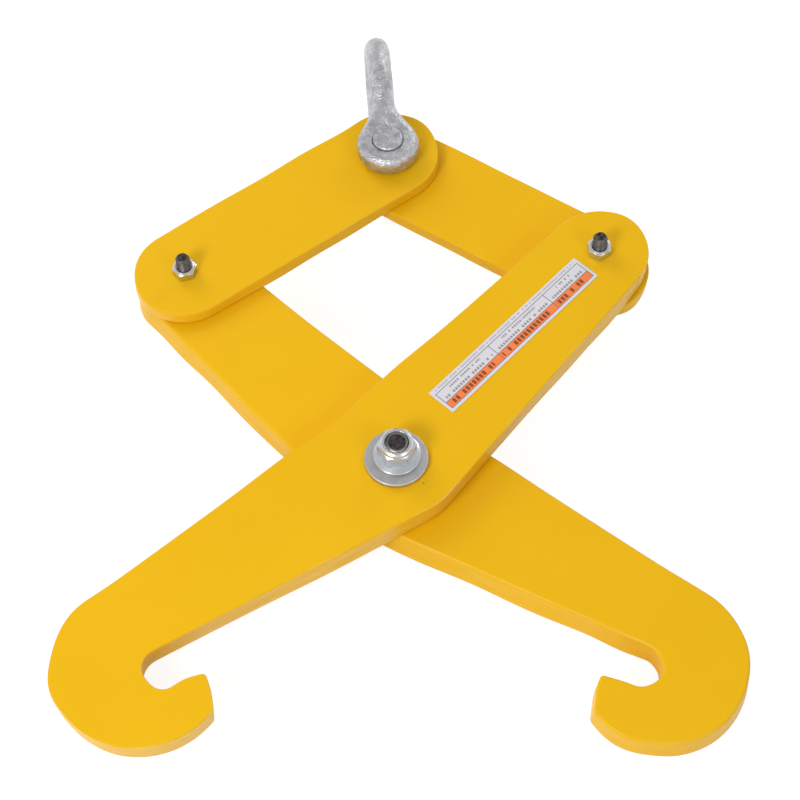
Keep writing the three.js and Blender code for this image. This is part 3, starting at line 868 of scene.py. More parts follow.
@dataclass
class Plate:
    """A hand-cut and painted plate: its edges lean and stray a little, and the paint rounds them."""

    thickness: float
    lean: float
    wide_face: WideFace
    wavers: Sequence[Waver] = ()
    rounding: float = 0.8
    round_steps: int = 4
    hole_sides: int = 72
    # How strongly the pale streaks show on the cut edges, partly drag lines and partly painted edge light.
    drag: float = 1.0

    def inset(self, height: float) -> float:
        """How far the leaning edge lies in from the full outline at a height."""
        share = height / self.thickness
        return self.lean * (1 - share if self.wide_face is WideFace.UPPER else share)

    def levels(self) -> list[Point]:
        """Insets and heights of the outline's rings, from the lower face to the upper.

        Returns:
            Pairs of inset and height.
        """
        quarter = [math.pi / 2 * k / self.round_steps for k in range(self.round_steps + 1)]
        edge = [(self.rounding * (1 - math.sin(a)), self.rounding * (1 - math.cos(a))) for a in quarter]
        top = self.thickness
        lower = [(inset + self.inset(0), height) for inset, height in edge]
        upper = [(inset + self.inset(top), top - height) for inset, height in reversed(edge)]
        hold = 2 * self.rounding
        return lower + [(self.inset(height), height) for height in (hold, top - hold)] + upper

    def draft(self, circles: Sequence[Circle], holes: Sequence[Hole]) -> Draft:
        """Builds the plate, its lower face at z = 0.

        Args:
            circles: The circles that its outline runs round.
            holes: Its holes.

        Returns:
            The plate, with how far round and up its cut edges each point lies.
        """
        made = Draft()
        run: list[tuple[float, float, float]] = []
        levels = self.levels()
        last = len(levels) - 1
        outline = np.array(self.dense(circles, 0.0))
        outward = outline - np.array(self.dense(circles, 1.0))
        low, high = self.strayed(outline)
        steps = [math.dist(a, b) for a, b in zip(outline, outline[1:])]
        walked = [0.0, *np.cumsum(steps).tolist()]
        rings = []
        for number, (inset, height) in enumerate(levels):
            reach = low + (high - low) * height / self.thickness - inset
            edge = outline + outward * reach[:, None]
            rings.append(made.ring((x, y, height) for x, y in edge.tolist()))
            # The walls carry the pale streaks, partly painted edge light, at the plate's share.
            on_wall = 0.0 if number in (0, last) else self.drag
            run.extend((walked[i], height, on_wall) for i in range(len(outline)))
        for lower, upper in zip(rings, rings[1:]):
            made.bridge(lower, upper)
        turns = [TAU * k / self.hole_sides for k in range(self.hole_sides)]
        bores = []
        for hole in holes:
            edge = []
            for _, height in levels:
                radius = hole.radius + self.bore_flare(height)
                rim = ((hole.x + radius * math.cos(t), hole.y + radius * math.sin(t), height) for t in turns)
                edge.append(made.ring(rim))
                run.extend((0.0, height, 0.0) for _ in turns)
            for lower, upper in zip(edge, edge[1:]):
                made.bridge(upper, lower)
            bores.append(edge)
        made.marks["cut_run"] = run
        for end, upward in ((0, False), (last, True)):
            self.cap(made, [rings[end], *(bore[end] for bore in bores)], upward)
        return made

    def strayed(self, outline: np.ndarray) -> tuple[np.ndarray, np.ndarray]:
        """How far out the torch strayed.

        Args:
            outline: The outline's points.

        Returns:
            The push at each point, at the lower face and at the upper.
        """
        low, high = np.zeros(len(outline)), np.zeros(len(outline))
        for waver in self.wavers:
            away = np.hypot(outline[:, 0] - waver.x, outline[:, 1] - waver.y)
            near = np.exp(-((away / waver.width) ** 2))
            low += near * waver.low
            high += near * waver.high
        return low, high

    def dense(self, circles: Sequence[Circle], inset: float, step: float = 1.5) -> list[Point]:
        """The belt's outline with points along its straights too.

        Args:
            circles: The circles that it runs round.
            inset: How far it is drawn in.
            step: The most that two points lie apart on the full outline.

        Returns:
            The points, as many for any inset.
        """
        full, drawn = belt(circles, 0.0), belt(circles, inset)
        points = []
        for i, here in enumerate(drawn):
            after = drawn[(i + 1) % len(drawn)]
            count = max(1, math.ceil(math.dist(full[i], full[(i + 1) % len(full)]) / step))
            points += [
                (here[0] + (after[0] - here[0]) * k / count, here[1] + (after[1] - here[1]) * k / count)
                for k in range(count)
            ]
        return points

    def bore_flare(self, height: float) -> float:
        """How far a hole's rim opens at a height, where the paint rounds it.

        Args:
            height: The height.

        Returns:
            What is added to the hole's radius.
        """
        depth = min(height, self.thickness - height)
        if depth >= self.rounding:
            return 0.0
        return self.rounding - math.sqrt(self.rounding**2 - (self.rounding - depth) ** 2)

    def cap(self, made: Draft, loops: Sequence[Sequence[int]], upward: bool) -> None:
        """Fills a face between its outline and its holes with flat triangles.

        Args:
            made: The plate.
            loops: The outline's ring and each hole's.
            upward: Whether the face looks up.
        """
        numbers = [i for loop in loops for i in loop]
        places = [Vector(made.points[i][:2]) for i in numbers]
        edges, start = [], 0
        for loop in loops:
            count = len(loop)
            edges += [(start + i, start + (i + 1) % count) for i in range(count)]
            start += count
        _, _, triangles, origins, _, _ = geometry.delaunay_2d_cdt(places, edges, [], 2, 1e-7)
        for triangle in triangles:
            corners = [numbers[origins[i][0]] for i in triangle]
            a, b, c = (Vector(made.points[i]) for i in corners)
            if ((b - a).cross(c - a).z > 0) != upward:
                corners.reverse()
            made.flat_faces.append(len(made.faces))
            made.faces.append(tuple(corners))


@dataclass
class Plates:
    """The four plates of the tongs: two crossed hook arms and the two links above them."""

    fold: Fold
    enamel: YellowEnamel = YellowEnamel()
    edge_lean: float = 1.0
    link_edge_lean: float = 0.35
    end_radius: float = 28.9
    hub_radius: float = 35.5
    outer_reach: float = 40.1
    waist_radius: float = 40.0
    waist_rise: float = 9.1
    hook: Circle = Circle(-22.7, -176.5, 46.6)
    slot: Circle = Circle(-11.4, -171.2, -11.7)
    front_nose: Circle = Circle(7.3, -162.2, 1.5)
    rear_nose: Circle = Circle(6.9, -162.7, 1.5)
    heel_radius: float = 3.0
    heel_angle: float = math.radians(4.9)
    link_radius: float = 30.5
    centre_bore: float = 6.75
    link_bore: float = 4.37
    pin_bore: float = 9.92
    open_pin_bore: float = 15.42
    worn_rounding: float = 1.5
    # On the rear arm and both links the pale streaks, partly drag lines and partly painted edge light, are
    # fainter, so those edges are painted darker.
    faint_streaks_and_edge_light: float = 0.3
    # Where each hand-guided cut strays from its true outline, chosen against the photograph.
    front_arm_wavers: tuple[Waver, ...] = (
        Waver(-1, 208, 14, 1.6, 1.6),
        Waver(-38, 42, 30, 1.5, 1.5),
        Waver(-47, -42, 24, 0.8, 0.8),
        Waver(-68, -180, 18, 1.3, 1.3),
        Waver(-47, -215, 15, 2.0, 2.0),
        Waver(16, -166, 8, 0.9, 0.9),
        Waver(3, -169, 9, 1.9, 1.9),
        Waver(-13, -182, 7, 1.2, 1.2),
        Waver(14, -62, 45, 1.1, 0.0),
        Waver(31, 115, 22, 0.7, 0.0),
        Waver(29, 154, 20, 1.3, 0.0),
    )
    rear_arm_wavers: tuple[Waver, ...] = (
        Waver(28, 184, 15, 0.0, 1.8),
        Waver(-33, 112, 32, -0.6, -0.6),
        Waver(-38, 40, 24, 0.5, 0.5),
        Waver(-46, -36, 20, 0.5, 0.5),
        Waver(-67, -168, 20, 0.8, 0.8),
        Waver(-60, -206, 14, 0.5, 0.5),
        Waver(-10, -221, 20, 1.2, 1.2),
        Waver(6, -212, 12, 0.8, 0.8),
        Waver(20, -189, 17, 2.5, 2.5),
        Waver(12, -164, 9, 1.6, 1.6),
        Waver(0, -173, 10, 1.6, 1.6),
        Waver(-9, -183, 8, 1.2, 1.2),
        Waver(-21, -174, 6, 0.8, 0.8),
        Waver(-18, -154, 15, 0.0, 1.6),
        Waver(0, -104, 34, 0.0, 2.2),
        Waver(24, -38, 32, 0.0, 2.2),
        Waver(32, 92, 34, 0.0, 1.6),
        Waver(30, 150, 20, 0.0, 1.9),
    )
    front_link_wavers: tuple[Waver, ...] = (
        Waver(-9, 174, 14, 2.1, 2.1),
        Waver(-28, 154, 17, 1.7, 1.7),
        Waver(-30, 106, 26, 1.5, 1.5),
        Waver(-30, 40, 36, 1.0, 1.0),
        Waver(-14, -27, 12, -0.5, -0.5),
        Waver(30, 46, 24, 1.0, 0.0),
        Waver(30, 94, 24, 0.8, 0.0),
    )
    rear_link_wavers: tuple[Waver, ...] = (
        Waver(11, -28, 9, 0.0, 1.3),
        Waver(-30, 110, 28, 0.8, 0.8),
        Waver(-30, 60, 26, 0.6, 0.6),
        Waver(-30, 18, 22, 0.6, 0.6),
        Waver(30, 58, 30, 0.0, 0.9),
        Waver(30, 114, 30, 0.0, 1.0),
    )

    def build(self) -> None:
        """Makes the arms and links of both layers."""
        for layer, pin_bore in ((Layer.FRONT, self.pin_bore), (Layer.REAR, self.open_pin_bore)):
            arm, link = layer.value + "_arm", layer.value + "_link"
            place = self.fold.layer(layer)
            turned = place @ Matrix.Rotation(-self.fold.lean, 4, "Z")
            make_piece("painted_" + arm, self.arm(layer), turned, self.enamel, arm, [arm])
            pivot = Matrix.Translation((-self.fold.pivot.x, self.fold.pivot.y, 0))
            turned = place @ pivot @ Matrix.Rotation(-self.fold.link_turn, 4, "Z")
            make_piece("painted_" + link, self.link(layer, pin_bore), turned, self.enamel, link, [link])

    def arm(self, layer: Layer) -> Draft:
        """One hook arm, its wide face up.

        Args:
            layer: The layer that it lies in, which tells whose torch marks it has.

        Returns:
            The arm, its centre pivot at the origin.
        """
        heel_reach = self.hook.radius - self.heel_radius
        circles = [
            Circle(0, self.fold.upper_reach, self.end_radius),
            Circle(-self.outer_reach - self.waist_radius, self.waist_rise, -self.waist_radius),
            self.hook,
            Circle(
                self.hook.x + heel_reach * math.cos(self.heel_angle),
                self.hook.y + heel_reach * math.sin(self.heel_angle),
                self.heel_radius,
            ),
            self.front_nose if layer is Layer.FRONT else self.rear_nose,
            self.slot,
            Circle(0, 0, self.hub_radius),
        ]
        holes = [Hole(0, 0, self.centre_bore), Hole(0, self.fold.upper_reach, self.link_bore)]
        plate = Plate(self.fold.arm_thickness, self.edge_lean, WideFace.UPPER)
        plate.wavers = self.front_arm_wavers
        if layer is Layer.REAR:
            plate.wavers = self.rear_arm_wavers
            plate.rounding, plate.drag = self.worn_rounding, self.faint_streaks_and_edge_light
        return plate.draft(circles, holes)

    def link(self, layer: Layer, pin_bore: float) -> Draft:
        """One link, its wide face down.

        Args:
            layer: The layer that it lies in, which tells whose torch marks it has.
            pin_bore: Radius of the hole round the shackle's pin.

        Returns:
            The link, its arm pivot at the origin.
        """
        circles = [Circle(0, self.fold.link_reach, self.link_radius), Circle(0, 0, self.link_radius)]
        holes = [Hole(0, 0, self.link_bore), Hole(0, self.fold.link_reach, pin_bore)]
        plate = Plate(self.fold.link_thickness, self.link_edge_lean, WideFace.LOWER, drag=self.faint_streaks_and_edge_light)
        plate.wavers = self.front_link_wavers if layer is Layer.FRONT else self.rear_link_wavers
        return plate.draft(circles, holes)


# Threads, bolts, nuts and washers


# The part of half a pitch that the root keeps flat, and the crest too.
THREAD_FLAT = 0.14


@dataclass(frozen=True)
class Thread:
    """A rolled thread along a bolt's shank, grown with Geometry Nodes."""

    radius: float
    pitch: float
    length: float
    plain: float
    tip_radius: float
    tip_slope: float
    sides: int = 72
    rows_per_pitch: int = 12
    depth_share: float = 0.58

    def inputs(self, finish: Finish) -> dict[str, object]:
        """The tree's inputs for this thread.

        Args:
            finish: The thread's finish.

        Returns:
            A value for each input's name.
        """
        return {
            "Radius": self.radius,
            "Pitch": self.pitch,
            "Ridge": self.depth_share * self.pitch,
            "Length": self.length,
            "Plain Length": self.plain,
            "Tip Radius": self.tip_radius,
            "Tip Slope": self.tip_slope,
            "Sides": self.sides,
            "Rows": math.ceil(self.length / self.pitch * self.rows_per_pitch),
            "Material": finish.material(),
        }


def thread_tree() -> bpy.types.NodeTree:
    """Builds the tree that draws a threaded shank: a fine cylinder whose radius follows a helix.

    Returns:
        The tree, the same one at each call.
    """
    name = "rolled_thread"
    if name in bpy.data.node_groups:
        return bpy.data.node_groups[name]
    tree = bpy.data.node_groups.new(name, "GeometryNodeTree")
    tree.interface.new_socket("Geometry", in_out="OUTPUT", socket_type="NodeSocketGeometry")
    sizes = ("Radius", "Pitch", "Ridge", "Length", "Plain Length", "Tip Radius", "Tip Slope")
    counts = ("Sides", "Rows")
    for size in sizes:
        tree.interface.new_socket(size, in_out="INPUT", socket_type="NodeSocketFloat")
    for count in counts:
        tree.interface.new_socket(count, in_out="INPUT", socket_type="NodeSocketInt")
    tree.interface.new_socket("Material", in_out="INPUT", socket_type="NodeSocketMaterial")
    given = tree.nodes.new("NodeGroupInput").outputs
    rod = add(
        tree,
        "GeometryNodeMeshCylinder",
        {
            "Vertices": given["Sides"],
            "Side Segments": given["Rows"],
            "Radius": given["Radius"],
            "Depth": given["Length"],
        },
        fill_type="TRIANGLE_FAN",
    )
    place = add(tree, "ShaderNodeSeparateXYZ", {0: add(tree, "GeometryNodeInputPosition")}).outputs
    values: dict[object, object] = {size: given[size] for size in sizes}
    values.update(x=place["X"], y=place["Y"], z=place["Z"])
    # The radius at each point, step by step: what it is called, how it is worked out, and from what.
    steps = (
        ("half", "MULTIPLY", "Length", 0.5),
        ("height", "ADD", "z", "half"),
        ("angle", "ARCTAN2", "y", "x"),
        ("turned", "DIVIDE", "angle", TAU),
        ("climbed", "DIVIDE", "height", "Pitch"),
        ("winding", "SUBTRACT", "climbed", "turned"),
        ("phase", "FRACT", "winding", 0.0),
        ("twice", "MULTIPLY", "phase", 2.0),
        ("centred", "SUBTRACT", "twice", 1.0),
        ("away", "ABSOLUTE", "centred", 0.0),
        ("rise", "SUBTRACT", 1.0, "away"),
        ("over root", "SUBTRACT", "rise", THREAD_FLAT),
        ("flank", "DIVIDE", "over root", 1 - 2 * THREAD_FLAT),
        ("not over crest", "MINIMUM", "flank", 1.0),
        ("profile", "MAXIMUM", "not over crest", 0.0),
        ("root", "SUBTRACT", "Radius", "Ridge"),
        ("raised", "MULTIPLY", "profile", "Ridge"),
        ("threaded", "ADD", "root", "raised"),
        ("is plain", "LESS_THAN", "height", "Plain Length"),
        ("plain", "MULTIPLY", "is plain", "Radius"),
        ("shank", "MAXIMUM", "threaded", "plain"),
        ("from end", "SUBTRACT", "Length", "height"),
        ("widening", "MULTIPLY", "from end", "Tip Slope"),
        ("tip", "ADD", "Tip Radius", "widening"),
        ("radius", "MINIMUM", "shank", "tip"),
        ("x squared", "MULTIPLY", "x", "x"),
        ("y squared", "MULTIPLY", "y", "y"),
        ("squares", "ADD", "x squared", "y squared"),
        ("reach", "SQRT", "squares", 0.0),
        ("some reach", "MAXIMUM", "reach", 1e-6),
        ("share", "DIVIDE", "radius", "some reach"),
        ("new x", "MULTIPLY", "x", "share"),
        ("new y", "MULTIPLY", "y", "share"),
    )
    for step, operation, first, second in steps:
        links = {0: values.get(first, first), 1: values.get(second, second)}
        values[step] = add(tree, "ShaderNodeMath", links, operation=operation)
    moved = add(tree, "ShaderNodeCombineXYZ", {0: values["new x"], 1: values["new y"], 2: values["height"]})
    shaped = add(tree, "GeometryNodeSetPosition", {"Geometry": rod.outputs["Mesh"], "Position": moved})
    real = add(tree, "GeometryNodeRealizeInstances", {"Geometry": shaped})
    dressed = add(tree, "GeometryNodeSetMaterial", {"Geometry": real, "Material": given["Material"]})
    add(tree, "NodeGroupOutput", {"Geometry": dressed})
    return tree


def grow(tree: bpy.types.NodeTree, inputs: dict[str, object]) -> bpy.types.Mesh:
    """Runs a geometry tree and keeps its result as a plain mesh.

    Args:
        tree: The tree.
        inputs: Its inputs, by name.

    Returns:
        The mesh.
    """
    carrier = bpy.data.objects.new("carrier", bpy.data.meshes.new("carrier"))
    modifier = carrier.modifiers.new("grow", "NODES")
    modifier.node_group = tree
    for socket in tree.interface.items_tree:
        if socket.item_type == "SOCKET" and socket.name in inputs and socket.in_out == "INPUT":
            modifier[socket.identifier] = inputs[socket.name]
    bpy.context.scene.collection.objects.link(carrier)
    evaluated = carrier.evaluated_get(bpy.context.evaluated_depsgraph_get())
    mesh = bpy.data.meshes.new_from_object(evaluated)
    carrier.modifiers.remove(modifier)
    bpy.data.objects.remove(carrier)
    return mesh


@dataclass(frozen=True)
class HexForm:
    """A hexagon's shape: its size and how its corners are broken."""

    flats: float
    corner_round: float
    chamfer: float
    face_share: float = 0.995

    def rings(self, made: Draft, heights: Sequence[tuple[float, float, bool]]) -> list[range]:
        """Adds the hexagon's rings to a draft.

        Args:
            made: The draft.
            heights: For each ring its height, the way in which its corners are chamfered, 1 up,
                -1 down and 0 not, and whether it is the round edge of a face.

        Returns:
            The rings.
        """
        pairs = hexagon_radii(self.flats, self.corner_round)
        widest = max(radius for _, radius in pairs)
        face = self.flats / 2 * self.face_share
        rings = []
        for height, way, is_round in heights:
            ring = []
            for angle, radius in pairs:
                past = (radius - face) / (widest - face)
                reach = face if is_round else radius
                drop = 0.0 if is_round else way * self.chamfer * past
                ring.append((reach * math.cos(angle), reach * math.sin(angle), height - drop))
            rings.append(made.ring(ring))
        return rings

    @property
    def angles(self) -> list[float]:
        """The angles of the hexagon's points, for round forms that join it."""
        return [angle for angle, _ in hexagon_radii(self.flats, self.corner_round)]


@dataclass(frozen=True)
class BoltForm:
    """A hexagon head bolt, whose end is dished and worn bright at its edge, the brightness partly a painted
    highlight.
    """

    hexagon: HexForm
    head_height: float
    radius: float
    pitch: float
    threaded: float
    tip_chamfer: float
    tip_slope: float
    dish_radius: float
    dish_depth: float
    # How bright the end's rim and chamfer are painted: partly bared steel, partly a painted highlight.
    highlit_bared_rim: float = 0.35
    highlit_bared_chamfer: float = 0.15
    neck: float = 0.3
    seat_share: float = 0.97
    rim_share: float = 0.9
    dish_shares: Sequence[Point] = ((1.12, 0.0), (1.0, 0.12), (0.62, 0.8), (0.3, 1.0))
    touch: float = 1e-3

    def draft(self, finish: Finish, length: float) -> Draft:
        """Builds the bolt, its head under z = 0 and its shank above.

        Args:
            finish: Its finish.
            length: How far its shank stands over the head's seat.

        Returns:
            The bolt.
        """
        made = Draft()
        foot, neck = -self.head_height, -self.neck
        steps = [(foot, 0, True), (foot, -1, False), (neck, 1, False), (neck, 0, True)]
        rings = self.hexagon.rings(made, steps)
        share = self.seat_share
        seat = made.ring((share * x, share * y, 0.0) for x, y, _ in [made.points[i] for i in rings[-1]])
        for lower, upper in zip(rings, [*rings[1:], seat]):
            made.bridge(lower, upper)
        made.close(rings[0], (0.0, 0.0, foot), upward=False)
        made.close(seat, (0.0, 0.0, 0.0), upward=True)
        buried = self.head_height / 2
        thread = Thread(
            radius=self.radius,
            pitch=self.pitch,
            length=length + buried,
            plain=length + buried - self.threaded,
            tip_radius=self.radius - self.tip_chamfer,
            tip_slope=self.tip_slope,
        )
        shank = grow(thread_tree(), thread.inputs(finish))
        shank.transform(Matrix.Translation((0, 0, -buried)))
        start = len(made.points)
        made.take_mesh(shank)
        rim = self.dish(made, start, length)
        self.bare_and_highlight(made, start, length, rim)
        return made

    def dish(self, made: Draft, start: int, length: float) -> list[int]:
        """Sinks the middle of the bolt's end into a shallow dish.

        Args:
            made: The bolt.
            start: The number of its shank's first point.
            length: How far its shank stands over the head's seat.

        Returns:
            The points of the end's rim, in order.
        """
        end = [i for i in range(start, len(made.points)) if abs(made.points[i][2] - length) < self.touch]
        middle = min(end, key=lambda i: math.hypot(*made.points[i][:2]))
        turns = {i: math.atan2(made.points[i][1], made.points[i][0]) for i in end if i != middle}
        rim = sorted(turns, key=turns.get)
        angles = [turns[i] for i in rim]
        made.faces = [face for face in made.faces if middle not in face]
        steps = [(self.rim_share * math.hypot(*made.points[rim[0]][:2]), 0.0)]
        steps += [(reach * self.dish_radius, deep * self.dish_depth) for reach, deep in self.dish_shares]
        rings: list[Sequence[int]] = [rim]
        for radius, depth in steps:
            circle = ((radius * math.cos(a), radius * math.sin(a), length - depth) for a in angles)
            rings.append(made.ring(circle))
        for lower, upper in zip(rings, rings[1:]):
            made.bridge(lower, upper)
        made.points[middle] = (0.0, 0.0, length - self.dish_depth)
        last = rings[-1]
        made.faces += [(last[i], last[(i + 1) % len(last)], middle) for i in range(len(last))]
        return rim

    def bare_and_highlight(self, made: Draft, start: int, length: float, rim: Sequence[int]) -> None:
        """Marks how much of the dark coat is worn off the end's rim and chamfer, and so where a highlight is
        painted.

        Args:
            made: The bolt.
            start: The number of its shank's first point.
            length: How far its shank stands over the head's seat.
            rim: The points of the end's rim.
        """
        shares = [0.0] * len(made.points)
        for i in rim:
            shares[i] = self.highlit_bared_rim
        tip = self.radius - self.tip_chamfer
        for i in range(start, len(made.points)):
            x, y, height = made.points[i]
            below = length - height
            widening = self.tip_slope * below + self.touch
            if below > self.touch and 0.95 * tip < math.hypot(x, y) <= tip + widening:
                shares[i] = self.highlit_bared_chamfer
        made.marks["bared_and_highlit"] = [(share, 0.0, 0.0) for share in shares]


@dataclass(frozen=True)
class NutForm:
    """A prevailing-torque lock nut: a hexagon with a collar that holds a nylon ring, and maybe a flange."""

    hexagon: HexForm
    hex_height: float
    collar_height: float
    collar_foot: float
    collar_radius: float
    crown_radius: float
    bore: float
    lip: float
    mouth: float
    ring_top: float
    countersink: float = 0.8
    countersink_depth: float = 0.6
    flange_radius: float = 0.0
    flange_rim: float = 0.9
    flange_rise: float = 1.4
    flange_bevel: float = 1.1
    flange_relief: float = 0.95
    flange_root: float = 0.5

    def foot(self, made: Draft) -> list[range]:
        """Adds the nut's lower rings, from the bore's edge to the hexagon's top.

        Args:
            made: The draft.

        Returns:
            The rings.
        """
        angles = self.hexagon.angles
        half = self.hexagon.flats / 2
        inner = self.bore + self.countersink
        if not self.flange_radius:
            ring = made.ring((inner * math.cos(a), inner * math.sin(a), 0.0) for a in angles)
            steps = [(0, 0, True), (0, -1, False), (self.hex_height, 1, False)]
            return [ring, *self.hexagon.rings(made, steps)]
        rim_top = self.flange_bevel + self.flange_rim
        corners = [
            (inner, 0, 0),
            (self.flange_radius - self.flange_relief, 0, 0.3),
            (self.flange_radius, self.flange_bevel, 0.5),
            (self.flange_radius, rim_top, 0.45),
            (half * 1.02, rim_top + self.flange_rise, 0.8),
            (half * 0.985, rim_top + self.flange_rise + self.flange_root, 0),
        ]
        flange = filleted(corners)[:-1]
        rings = [made.ring((r * math.cos(a), r * math.sin(a), z) for a in angles) for r, z in flange]
        skirt = rim_top + self.flange_rise * 0.75
        return rings + self.hexagon.rings(made, [(skirt, 0, False), (self.hex_height, 1, False)])

    def draft(self) -> Draft:
        """Builds the nut from z = 0 up.

        Returns:
            The nut.
        """
        made = Draft()
        rings = self.foot(made)
        top = self.hex_height + self.collar_height
        corners = [
            (self.hexagon.flats / 2 * self.hexagon.face_share, self.hex_height, 0.1),
            (self.collar_foot, self.hex_height + 0.15, 0.1),
            (self.collar_radius, top - self.lip, 0.6 * self.lip),
            (self.crown_radius, top, 0.5),
            (self.mouth, top, 0.35),
            (self.mouth, self.ring_top, 0),
            (self.bore, self.ring_top, 0),
            (self.bore, self.countersink_depth, 0),
            (self.bore + self.countersink, 0, 0),
        ]
        angles = self.hexagon.angles
        for radius, height in filleted(corners, steps=5)[:-1]:
            rings.append(made.ring((radius * math.cos(a), radius * math.sin(a), height) for a in angles))
        for lower, higher in zip(rings, [*rings[1:], rings[0]]):
            made.bridge(lower, higher)
        return made


def dress(node: str, finish: Finish) -> None:
    """Gives a node that is shown as the frame has it its finish.

    Args:
        node: The node.
        finish: Its finish.
    """
    materials = frame["nodes"][node].data.materials
    materials.clear()
    materials.append(finish.material())


@dataclass
class CentreFastener:
    """The half-inch centre bolt with its washers and flanged lock nut, about the centre pivot."""

    fold: Fold
    zinc: BrightZinc = BrightZinc()
    # To the eye: the same plating, dulled and evened by tumbling in a barrel.
    tumbled: BrightZinc = BrightZinc("tumbled_zinc_plate", colour="#d3d2d3", dull="#aeacad", roughness=0.42)
    steel: OiledSteel = OiledSteel()
    nylon: MouldedNylon = MouldedNylon()
    washer_radius: float = 17.6
    washer_thickness: float = 2.8
    washer_bore: float = 7.5
    washer_hang: Point = (-0.5, -1.0)
    washer_sides: int = 144
    shank_past: float = 14.6
    body: str = "centre_pivot"
    hexagon: HexForm = HexForm(flats=19.05, corner_round=0.5, chamfer=0.7)
    bolt: BoltForm = BoltForm(
        hexagon=hexagon,
        head_height=7.9,
        radius=6.35,
        pitch=1.954,
        threaded=20.0,
        tip_chamfer=0.55,
        tip_slope=1.0,
        dish_radius=3.1,
        dish_depth=0.1,
        highlit_bared_rim=0.9,
        highlit_bared_chamfer=0.7,
    )
    nut: NutForm = NutForm(
        hexagon=hexagon,
        hex_height=12.3,
        collar_height=2.5,
        collar_foot=9.3,
        collar_radius=9.0,
        crown_radius=7.9,
        bore=6.65,
        lip=0.8,
        mouth=6.75,
        ring_top=13.9,
        flange_radius=13.15,
    )

    def build(self) -> None:
        """Makes the bolt, both washers and the nut, and gives the nut's ring its finish."""
        gap = self.fold.seat_gap
        front_seat = self.fold.arm_front + gap
        nut_seat = front_seat + self.washer_thickness + gap
        rear_seat = -self.fold.arm_thickness - gap - self.washer_thickness
        head_seat = rear_seat - gap
        bolt = self.bolt.draft(self.steel, nut_seat - head_seat + self.shank_past)
        self.put("turned_centre_bolt", bolt, head_seat, self.steel, "centre_bolt")
        hang = Matrix.Translation((*self.washer_hang, front_seat))
        washer = self.washer()
        washer.points = [tuple(hang @ Vector(p)) for p in washer.points]
        self.put("front_washer", washer, 0.0, self.tumbled, "centre_front_washer")
        self.put("rear_washer", self.washer(), rear_seat, self.zinc, "centre_rear_washer")
        self.put("flanged_lock_nut", self.nut.draft(), nut_seat, self.zinc, "centre_nut")
        dress("centre_nut_insert", self.nylon)

    def put(self, name: str, draft: Draft, height: float, finish: Finish, node: str) -> None:
        """Makes a draft a piece at a height over the centre pivot."""
        make_piece(name, draft, self.fold.at(0, 0, height), finish, self.body, [node])

    def washer(self) -> Draft:
        """A stamped flat washer from z = 0 up, its upper rim softly rolled.

        Returns:
            The washer.
        """
        bore, rim, thick = self.washer_bore, self.washer_radius, self.washer_thickness
        profile = filleted([(bore, 0, 0), (rim, 0, 0.4), (rim, thick, 0.8), (bore, thick, 0.3), (bore, 0, 0)])
        made = Draft()
        made.turn(profile, [TAU * k / self.washer_sides for k in range(self.washer_sides)])
        return made


@dataclass
class LinkFastener:
    """A five-sixteenths link bolt with its low lock nut, about an upper pivot."""

    fold: Fold
    side: str
    body: str
    x: float
    rear_face: float
    front_face: float
    turn: float
    zinc: BrightZinc = BrightZinc()
    steel: OiledSteel = OiledSteel()
    nylon: MouldedNylon = MouldedNylon()
    hexagon: HexForm = HexForm(flats=12.7, corner_round=0.4, chamfer=0.5)
    stud_past: float = 8.3
    # The real thread has 18 turns to the inch, a pitch of 1.41 mm, too fine to show: it is drawn coarser.
    bolt: BoltForm = BoltForm(
        hexagon=hexagon,
        head_height=5.4,
        radius=4.2,
        pitch=1.95,
        threaded=18.0,
        tip_chamfer=1.15,
        tip_slope=0.7,
        dish_radius=1.9,
        dish_depth=0.8,
    )
    nut: NutForm = NutForm(
        hexagon=hexagon,
        hex_height=5.0,
        collar_height=1.3,
        collar_foot=6.2,
        collar_radius=6.05,
        crown_radius=5.3,
        bore=4.27,
        lip=0.35,
        mouth=4.55,
        ring_top=5.65,
    )

    def build(self) -> None:
        """Makes the bolt and its nut, and gives the nut's ring its finish."""
        seat = self.front_face + self.fold.seat_gap
        head_seat = self.rear_face - self.fold.seat_gap
        length = seat - head_seat + self.nut.hex_height + self.nut.collar_height + self.stud_past
        bolt, nut = self.side + "_link_bolt", self.side + "_link_nut"
        place = self.fold.at(self.x, self.fold.pivot.y, head_seat, self.turn)
        make_piece(
            "threaded_" + bolt, self.bolt.draft(self.steel, length), place, self.steel, self.body, [bolt]
        )
        place = self.fold.at(self.x, self.fold.pivot.y, seat, self.turn)
        make_piece("low_" + nut, self.nut.draft(), place, self.zinc, self.body, [nut])
        dress(nut + "_insert", self.nylon)


# Shackle


@dataclass
class DistanceField:
    """Signed distances on a grid of cells, from which a forged shape is drawn."""

    low: tuple[float, float, float]
    high: tuple[float, float, float]
    cell: float = 0.5
    band_cells: int = 3

    def axes(self) -> tuple[np.ndarray, np.ndarray, np.ndarray]:
        """The grid's three axes, shaped to combine."""
        x, y, z = (np.arange(low, high + self.cell, self.cell) for low, high in zip(self.low, self.high))
        return x[:, None, None], y[None, :, None], z[None, None, :]

    def draw(self, distances: np.ndarray) -> tuple[np.ndarray, np.ndarray]:
        """The surface where the distance is zero.

        Args:
            distances: A signed distance for each cell, negative inside.

        Returns:
            Its points in millimetres and its four-sided faces.
        """
        band = self.band_cells * self.cell
        grid = openvdb.FloatGrid(background=band)
        grid.copyFromArray(np.clip(distances, -band, band).astype(np.float32))
        points, quads = grid.convertToQuads(isovalue=0.0)
        return points * self.cell + np.array(self.low), quads[:, ::-1]


